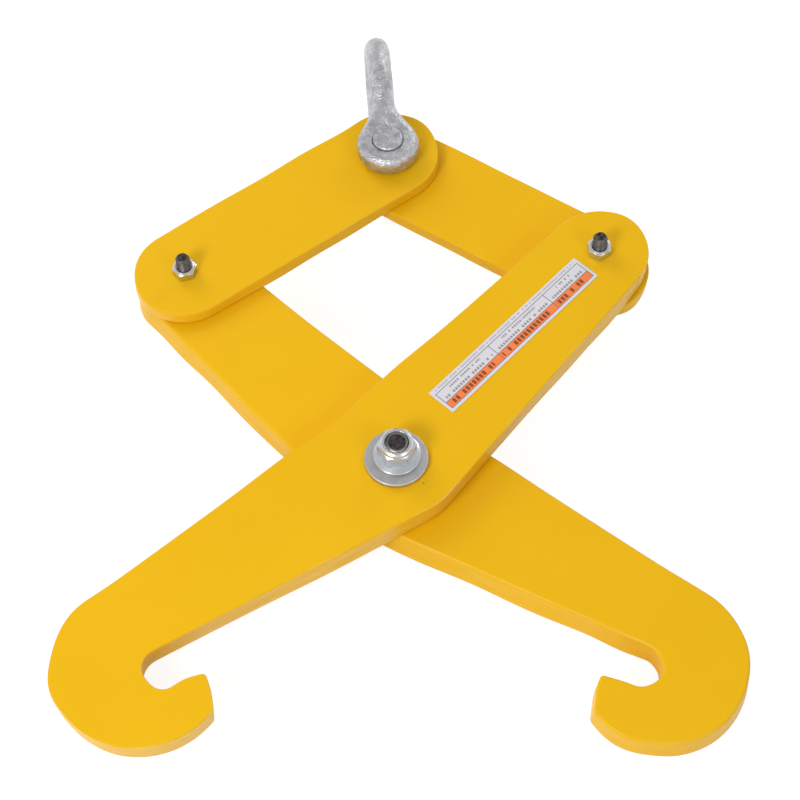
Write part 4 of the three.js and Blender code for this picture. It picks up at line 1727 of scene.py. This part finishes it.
def merged(a: np.ndarray, b: np.ndarray, blend: float) -> np.ndarray:
    """Two shapes forged into one, with a fillet of about `blend` where they meet."""
    share = np.clip(0.5 + 0.5 * (b - a) / blend, 0, 1)
    return b + (a - b) * share - blend * share * (1 - share)


def cut_from(a: np.ndarray, b: np.ndarray, blend: float) -> np.ndarray:
    """Shape a without shape b, its new edges rounded by about `blend`."""
    return -merged(-a, b, blend)


def disc(radial: np.ndarray, axial: np.ndarray, radius: float, half: float, rounding: float) -> np.ndarray:
    """Distance to a disc with rounded edges.

    Args:
        radial: Distance from its axis.
        axial: Distance from its middle plane.
        radius: Its radius.
        half: Half its thickness.
        rounding: Radius of its edges.

    Returns:
        The signed distances.
    """
    across = radial - (radius - rounding)
    along = np.abs(axial) - (half - rounding)
    outside = np.hypot(np.maximum(across, 0), np.maximum(along, 0))
    return outside + np.minimum(np.maximum(across, along), 0) - rounding


@dataclass
class Shackle:
    """A galvanised screw-pin anchor shackle: a forged bow with two ears, and its pin with collar and eye."""

    fold: Fold
    zinc: GalvanisedForging = GalvanisedForging()
    jaw: float = 27.0
    jaw_space: float = 31.5
    ear_radius: float = 18.6
    ear_thickness: float = 12.5
    front_ear_excess: float = 1.4
    ear_round: float = 5.4
    ear_fillet: float = 3.0
    neck_rise: float = 25.0
    neck_radius: float = 6.6
    neck_thinning: float = 0.5
    neck_reach: float = 9.0
    rod_radius: float = 7.5
    leg_slack: float = 0.25
    bow_radius: float = 29.5
    bow_rise: float = 55.0
    leg_pull: float = 15.0
    path_steps: tuple[int, int, int] = (20, 60, 90)
    edge_break: float = 0.9
    bore_break: float = 0.3
    flash_height: float = 0.2
    flash_ragged: float = 0.08
    flash_width: float = 0.7
    lean: float = math.radians(4)
    pin_radius: float = 9.1
    pin_clearance: float = 0.15
    pin_past: float = 1.6
    pin_sides: int = 120
    hang: float = 0.4
    collar_radius: float = 12.6
    collar_thickness: float = 3.0
    collar_round: float = 1.1
    eye_radius: float = 10.2
    eye_thickness: float = 9.0
    eye_round: float = 2.4
    eye_hole: float = 5.5
    eye_hole_round: float = 2.0
    eye_fillet: float = 2.2
    eye_reach: float = 20.0
    overrun: float = 6.0
    # Heights of the zinc's lumps, each with the distance over which they rise and fall.
    lumps: Sequence[Point] = ((0.14, 3.4), (0.1, 1.5))
    body: str = "shackle"

    @property
    def outer_face(self) -> float:
        """Distance of an ear's outer face from the jaw's middle."""
        return self.jaw / 2 + self.ear_thickness

    def build(self) -> None:
        """Makes the bow and the pin."""
        middle = self.fold.link_front + self.fold.seat_gap - self.jaw / 2
        height = self.fold.shackle_height + self.hang
        place = self.fold.at(0, height, middle, self.lean)
        make_piece("forged_bow", self.bow(), place, self.zinc, self.body, ["shackle_bow"], crease=60)
        place = self.fold.at(0, height, middle)
        make_piece("screw_pin", self.pin(), place, self.zinc, self.body, ["shackle_pin"], crease=40)

    def path(self) -> np.ndarray:
        """The bow's centre line from pin to pin, in its height and depth.

        Returns:
            Its points, in order.
        """
        leg_depth = self.outer_face - self.rod_radius
        start = self.collar_radius + self.fold.seat_gap
        pulls = [(start, leg_depth), (start + self.leg_pull, leg_depth)]
        pulls += [(self.bow_rise - self.leg_pull, self.bow_radius), (self.bow_rise, self.bow_radius)]
        in_leg, in_flare, in_crown = self.path_steps
        share = np.linspace(0, 1, in_flare)[:, None]
        left = 1 - share
        weights = np.hstack([left**3, 3 * share * left**2, 3 * share**2 * left, share**3])
        flare = weights @ np.array(pulls)
        straight = np.column_stack([np.linspace(0, start, in_leg), np.full(in_leg, leg_depth)])
        angles = np.linspace(math.pi / 2, 0, in_crown)
        turned = np.column_stack([np.cos(angles), np.sin(angles)])
        crown = self.bow_radius * turned + [self.bow_rise, 0.0]
        half = np.vstack([straight, flare[1:], crown[1:]])
        return np.vstack([half, half[::-1] * [1, -1]])

    def bow(self) -> Draft:
        """The forged bow with its ears, parting line and bores.

        Returns:
            The bow.
        """
        crown = self.bow_rise + self.bow_radius + self.rod_radius
        depth = self.bow_radius + self.rod_radius
        room = DistanceField((-22.0, -22.0, -depth - 2.5), (22.0, crown + 2.5, depth + 2.5))
        x, y, z = room.axes()
        to_path = np.full((y.size, z.size), np.inf)
        for height, away in self.path():
            to_path = np.minimum(to_path, np.hypot(y[0] - height, z[0] - away))
        near_neck = np.exp(-(((y - self.neck_rise) / self.neck_reach) ** 2))
        thinning = self.leg_slack + self.neck_thinning * near_neck
        rod = np.hypot(x, to_path[None]) - (self.rod_radius - thinning * (y < self.bow_rise))
        radial = np.hypot(x, y)
        half_ear = (self.ear_thickness + self.front_ear_excess * (z > 0)) / 2
        outline = self.egg(x, y) + self.ear_radius
        ears = disc(outline, np.abs(z) - self.jaw / 2 - half_ear, self.ear_radius, half_ear, self.ear_round)
        shape = merged(rod, ears, self.ear_fillet)
        jaw_space = np.maximum(np.abs(z) - self.jaw / 2, radial - self.jaw_space)
        shape = cut_from(shape, jaw_space, self.edge_break)
        # The flash is a low ridge along the forging's parting line, trimmed a little unevenly.
        ragged = self.flash_height + self.flash_ragged * np.sin(0.9 * y + 2 * np.sin(0.37 * y)) + 0 * z
        shape = shape - ragged * np.exp(-((x / self.flash_width) ** 2))
        bore = radial - (self.pin_radius + self.pin_clearance)
        bore = np.maximum(bore, np.abs(z) - self.outer_face - self.overrun)
        points, quads = room.draw(cut_from(shape, bore, self.bore_break))
        made = Draft()
        made.take(self.lumped(points, quads), quads)
        return made

    def egg(self, x: np.ndarray, y: np.ndarray) -> np.ndarray:
        """Distance to the ear's outline: round below, with straight flanks that close in to the neck.

        Args:
            x: Across the shackle.
            y: Along it, from the pin.

        Returns:
            The signed distances.
        """
        x = np.abs(x)
        slope = (self.ear_radius - self.neck_radius) / self.neck_rise
        rise = math.sqrt(1 - slope**2)
        along = rise * y - slope * x
        flank = rise * x + slope * y - self.ear_radius
        top = np.hypot(x, y - self.neck_rise) - self.neck_radius
        upper = np.where(along > rise * self.neck_rise, top, flank)
        return np.where(along < 0, np.hypot(x, y) - self.ear_radius, upper)

    def lumped(self, points: np.ndarray, quads: np.ndarray) -> np.ndarray:
        """Moves points along their normals into the soft lumps that the zinc leaves.

        Args:
            points: The points.
            quads: The faces between them.

        Returns:
            The moved points.
        """
        corners = points[quads]
        normals = np.cross(corners[:, 2] - corners[:, 0], corners[:, 3] - corners[:, 1])
        summed = np.zeros_like(points)
        for k in range(4):
            np.add.at(summed, quads[:, k], normals)
        summed /= np.maximum(np.linalg.norm(summed, axis=1), 1e-9)[:, None]
        heights = [sum(height * noise.noise(Vector(p) / size) for height, size in self.lumps) for p in points]
        return points + summed * np.array(heights)[:, None]

    def pin(self) -> Draft:
        """The pin: a shaft, drawn without its thread, a collar and a forged eye behind the rear ear.

        Returns:
            The pin.
        """
        made = Draft()
        front = self.outer_face + self.front_ear_excess + self.pin_past
        collar_top = -self.outer_face - self.fold.seat_gap
        # The end's rounded edge and the small centre mark that turning leaves, from the outside in.
        end = [(self.pin_radius, front, 1.5), (1.5, front, 0.4)]
        end += [(1.1, front - 0.5, 0.3), (0.5, front - 0.35, 0.2), (0, front - 0.3, 0)]
        shaft = filleted([(0, collar_top - 1, 0), (self.pin_radius, collar_top - 1, 0), *end], steps=6)
        made.turn(shaft, [TAU * k / self.pin_sides for k in range(self.pin_sides)])
        back = -self.outer_face - self.eye_reach
        room = DistanceField((-14.5, -14.5, back - 1.5), (14.5, 14.5, collar_top + 1.5))
        x, y, z = room.axes()
        half_collar = self.collar_thickness / 2
        collar = disc(
            np.hypot(x, y), z - collar_top + half_collar, self.collar_radius, half_collar, self.collar_round
        )
        from_eye = np.hypot(x, z - back - self.eye_radius)
        eye = disc(from_eye, y, self.eye_radius, self.eye_thickness / 2, self.eye_round)
        eye = np.maximum(eye, z - collar_top + 0.2)
        shape = cut_from(
            merged(collar, eye, self.eye_fillet), from_eye - self.eye_hole + 0 * y, self.eye_hole_round
        )
        points, quads = room.draw(np.maximum(shape, z - collar_top))
        made.take(self.lumped(points, quads), quads)
        return made


# Decal


@dataclass
class Decal:
    """The blank printed film on the front arm."""

    fold: Fold
    film: PrintedFilm = PrintedFilm()
    width: float = 18.3
    centre_space: float = 42.05
    pivot_space: float = 13.45
    offset: float = 1.7
    turn: float = math.radians(-2.5)
    corner: float = 0.7
    thickness: float = 0.4
    rim: float = 0.1
    foot: float = 0.06
    float_gap: float = 0.05

    def build(self) -> None:
        """Makes the film, with its own length and width as its map."""
        length = self.fold.upper_reach - self.centre_space - self.pivot_space
        rise = (self.centre_space + self.fold.upper_reach - self.pivot_space) / 2
        half = Vector((self.width / 2 - self.corner, length / 2 - self.corner))
        signs = ((1, -1), (1, 1), (-1, 1), (-1, -1))
        circles = [Circle(sx * half.x, sy * half.y, self.corner) for sx, sy in signs]
        made = Draft()
        top = self.thickness
        levels = ((self.rim, 0.0), (0.0, self.foot), (0.0, top - self.rim), (self.rim, top))
        rings = [made.ring((x, y, height) for x, y in belt(circles, inset)) for inset, height in levels]
        for lower, upper in zip(rings, rings[1:]):
            made.bridge(lower, upper)
        made.faces.append(tuple(reversed(rings[0])))
        made.faces.append(tuple(rings[-1]))
        place = self.fold.at(0, 0, self.fold.arm_front + self.float_gap, -self.fold.lean)
        place = place @ Matrix.Translation((-self.offset, rise, 0)) @ Matrix.Rotation(self.turn, 4, "Z")
        piece = make_piece("printed_decal", made, place, self.film, "front_arm", ["blank_decal"])
        chart = piece.data.uv_layers.new(name="film")
        for loop in piece.data.loops:
            x, y, _ = made.points[loop.vertex_index]
            chart.data[loop.index].uv = (y / length + 0.5, 0.5 - x / self.width)


# Studio


@dataclass(frozen=True)
class SoftBox:
    """A square soft box: where it hangs in metres, its side, its watts and whether the metal shows it."""

    name: str
    place: tuple[float, float, float]
    size: float
    watts: float
    mirrored: bool = True


@dataclass
class Studio:
    """A white floor and backdrop, soft boxes and the camera."""

    fold: Fold
    # The camera's aim in the fold, its distance, its height over the plates' plane and its roll, all from the
    # plates' edges, the pivots and the washer in the photograph.
    lens: float = 88.0
    sensor: float = 36.0
    camera_aim: Point = (2.5, 47.0)
    camera_distance: float = 1105.5
    camera_rise: float = math.radians(59.02)
    camera_roll: float = math.radians(-1.79)
    look_at: tuple[float, float, float] = (0.0, 0.0, 0.03)
    soft_boxes: Sequence[SoftBox] = (
        SoftBox("key", (-0.82, -1.1, 1.03), 0.5, 11.3),
        SoftBox("fill", (0.93, -1.24, 1.16), 0.6, 3.6),
        SoftBox("back", (-1.0, 1.1, 1.3), 1.2, 12.5, mirrored=False),
        SoftBox("rim", (0.77, 1.15, 0.97), 0.4, 2.6),
    )
    ambient: float = 0.47
    ceiling_rise: Point = (0.3, 0.8)
    ceiling_tone: float = 0.62
    floor_reach: float = 6.0
    floor_tone: float = 0.92
    floor_paper: float = 0.3
    floor_glow: float = 0.86
    floor_lift: float = 0.2

    def build(self) -> None:
        """Makes the camera, floor, world and lamps."""
        self.camera()
        self.floor()
        self.world()
        for box in self.soft_boxes:
            self.lamp(box)

    def camera(self) -> None:
        """Puts the camera where the photograph was taken from."""
        data = bpy.data.cameras.new("camera")
        data.lens, data.sensor_width = self.lens, self.sensor
        data.clip_start, data.clip_end = 0.01, 50.0
        made = bpy.data.objects.new("camera", data)
        bpy.context.scene.collection.objects.link(made)
        tilt = Matrix.Rotation(math.pi / 2 - self.camera_rise, 4, "X")
        roll = Matrix.Rotation(self.camera_roll, 4, "Z")
        back = Matrix.Translation((0, 0, self.camera_distance))
        pose = self.fold.at(*self.camera_aim, 0) @ tilt @ roll @ back
        made.matrix_world = Matrix.LocRotScale(pose.to_translation(), pose.to_quaternion(), None)
        bpy.context.scene.camera = made

    def floor(self) -> None:
        """Makes a wide floor that shows white and keeps the shadow."""
        mesh = bpy.data.meshes.new("floor")
        far = self.floor_reach
        mesh.from_pydata([(-far, -far, 0), (far, -far, 0), (far, far, 0), (-far, far, 0)], [], [(0, 1, 2, 3)])
        made = bpy.data.objects.new("floor", mesh)
        bpy.context.scene.collection.objects.link(made)
        paper = bpy.data.materials.new("white_paper_sweep")
        paper.use_nodes = True
        tree = paper.node_tree
        tree.nodes.clear()
        ray = add(tree, "ShaderNodeLightPath")
        # Light that bounces on to the tongs meets plain white paper. The camera sees the same paper lifted to
        # white by a glow, which leaves room for the shadow, and the metal mirrors it a little brighter.
        bounce = add(tree, "ShaderNodeBsdfDiffuse", {"Color": (self.floor_tone,) * 3 + (1.0,)})
        shadowed = add(tree, "ShaderNodeBsdfDiffuse", {"Color": (self.floor_paper,) * 3 + (1.0,)})
        glow = add(tree, "ShaderNodeEmission", {"Color": WHITE, "Strength": self.floor_glow})
        shown = add(tree, "ShaderNodeAddShader", {0: shadowed, 1: glow})
        mirrored = add(tree, "ShaderNodeBsdfDiffuse", {"Color": WHITE})
        lift = add(tree, "ShaderNodeEmission", {"Color": WHITE, "Strength": self.floor_lift})
        bright = add(tree, "ShaderNodeAddShader", {0: mirrored, 1: lift})
        gloss = add(tree, "ShaderNodeMixShader", {0: ray.outputs["Is Glossy Ray"], 1: shown, 2: bright})
        mix = add(tree, "ShaderNodeMixShader", {0: self.seen(tree, ray), 1: bounce, 2: gloss})
        add(tree, "ShaderNodeOutputMaterial", {"Surface": mix})
        mesh.materials.append(paper)

    def seen(self, tree: bpy.types.NodeTree, ray: bpy.types.Node) -> bpy.types.Node:
        """One for rays that show the background itself: straight, mirrored or through glass.

        Args:
            tree: The node tree.
            ray: Its light path node.

        Returns:
            The node that gives 1 for such rays, 0 for others.
        """
        kinds = ("Camera", "Glossy", "Transmission")
        straight, mirrored, through = (ray.outputs[f"Is {kind} Ray"] for kind in kinds)
        either = add(tree, "ShaderNodeMath", {0: straight, 1: mirrored}, operation="ADD")
        return add(tree, "ShaderNodeMath", {0: either, 1: through}, operation="ADD", use_clamp=True)

    def world(self) -> None:
        """Makes a white horizon under a greyer ceiling, with a plain ambient light."""
        world = bpy.data.worlds.new("studio")
        bpy.context.scene.world = world
        world.use_nodes = True
        tree = world.node_tree
        tree.nodes.clear()
        ray = add(tree, "ShaderNodeLightPath")
        rise = add(tree, "ShaderNodeSeparateXYZ", {0: add(tree, "ShaderNodeTexCoord").outputs["Generated"]})
        low, high = self.ceiling_rise
        fade = {"Value": rise.outputs["Z"], "From Min": low, "From Max": high, "To Min": 1.0}
        ceiling = add(tree, "ShaderNodeMapRange", {**fade, "To Max": self.ceiling_tone})
        shown = add(tree, "ShaderNodeBackground", {"Color": WHITE, "Strength": ceiling})
        ambient = add(tree, "ShaderNodeBackground", {"Color": WHITE, "Strength": self.ambient})
        mix = add(tree, "ShaderNodeMixShader", {0: self.seen(tree, ray), 1: ambient, 2: shown})
        add(tree, "ShaderNodeOutputWorld", {"Surface": mix})

    def lamp(self, box: SoftBox) -> None:
        """Hangs a soft box that looks at the middle of the tongs.

        Args:
            box: The soft box.
        """
        data = bpy.data.lights.new(box.name, "AREA")
        data.shape, data.size, data.energy = "SQUARE", box.size, box.watts
        made = bpy.data.objects.new(box.name, data)
        bpy.context.scene.collection.objects.link(made)
        made.location = box.place
        made.visible_glossy = box.mirrored
        made.rotation_euler = (Vector(self.look_at) - Vector(box.place)).to_track_quat("-Z", "Y").to_euler()


def main() -> None:
    """Builds the tongs, piece by piece, and the studio round them."""
    logging.basicConfig(level=logging.INFO, format="%(name)s: %(message)s")
    bpy.context.scene.view_settings.view_transform = "Standard"
    fold = Fold()
    Studio(fold).build()
    Plates(fold).build()
    CentreFastener(fold).build()
    arm_rear, link_rear = -fold.arm_thickness, -fold.link_thickness
    left_turn, right_turn = math.radians(13), math.radians(32)
    LinkFastener(fold, "left", "rear_arm", -fold.pivot.x, arm_rear, fold.link_front, left_turn).build()
    LinkFastener(fold, "right", "front_arm", fold.pivot.x, link_rear, fold.arm_front, right_turn).build()
    Shackle(fold).build()
    Decal(fold).build()


if __name__ == "__main__":
    main()
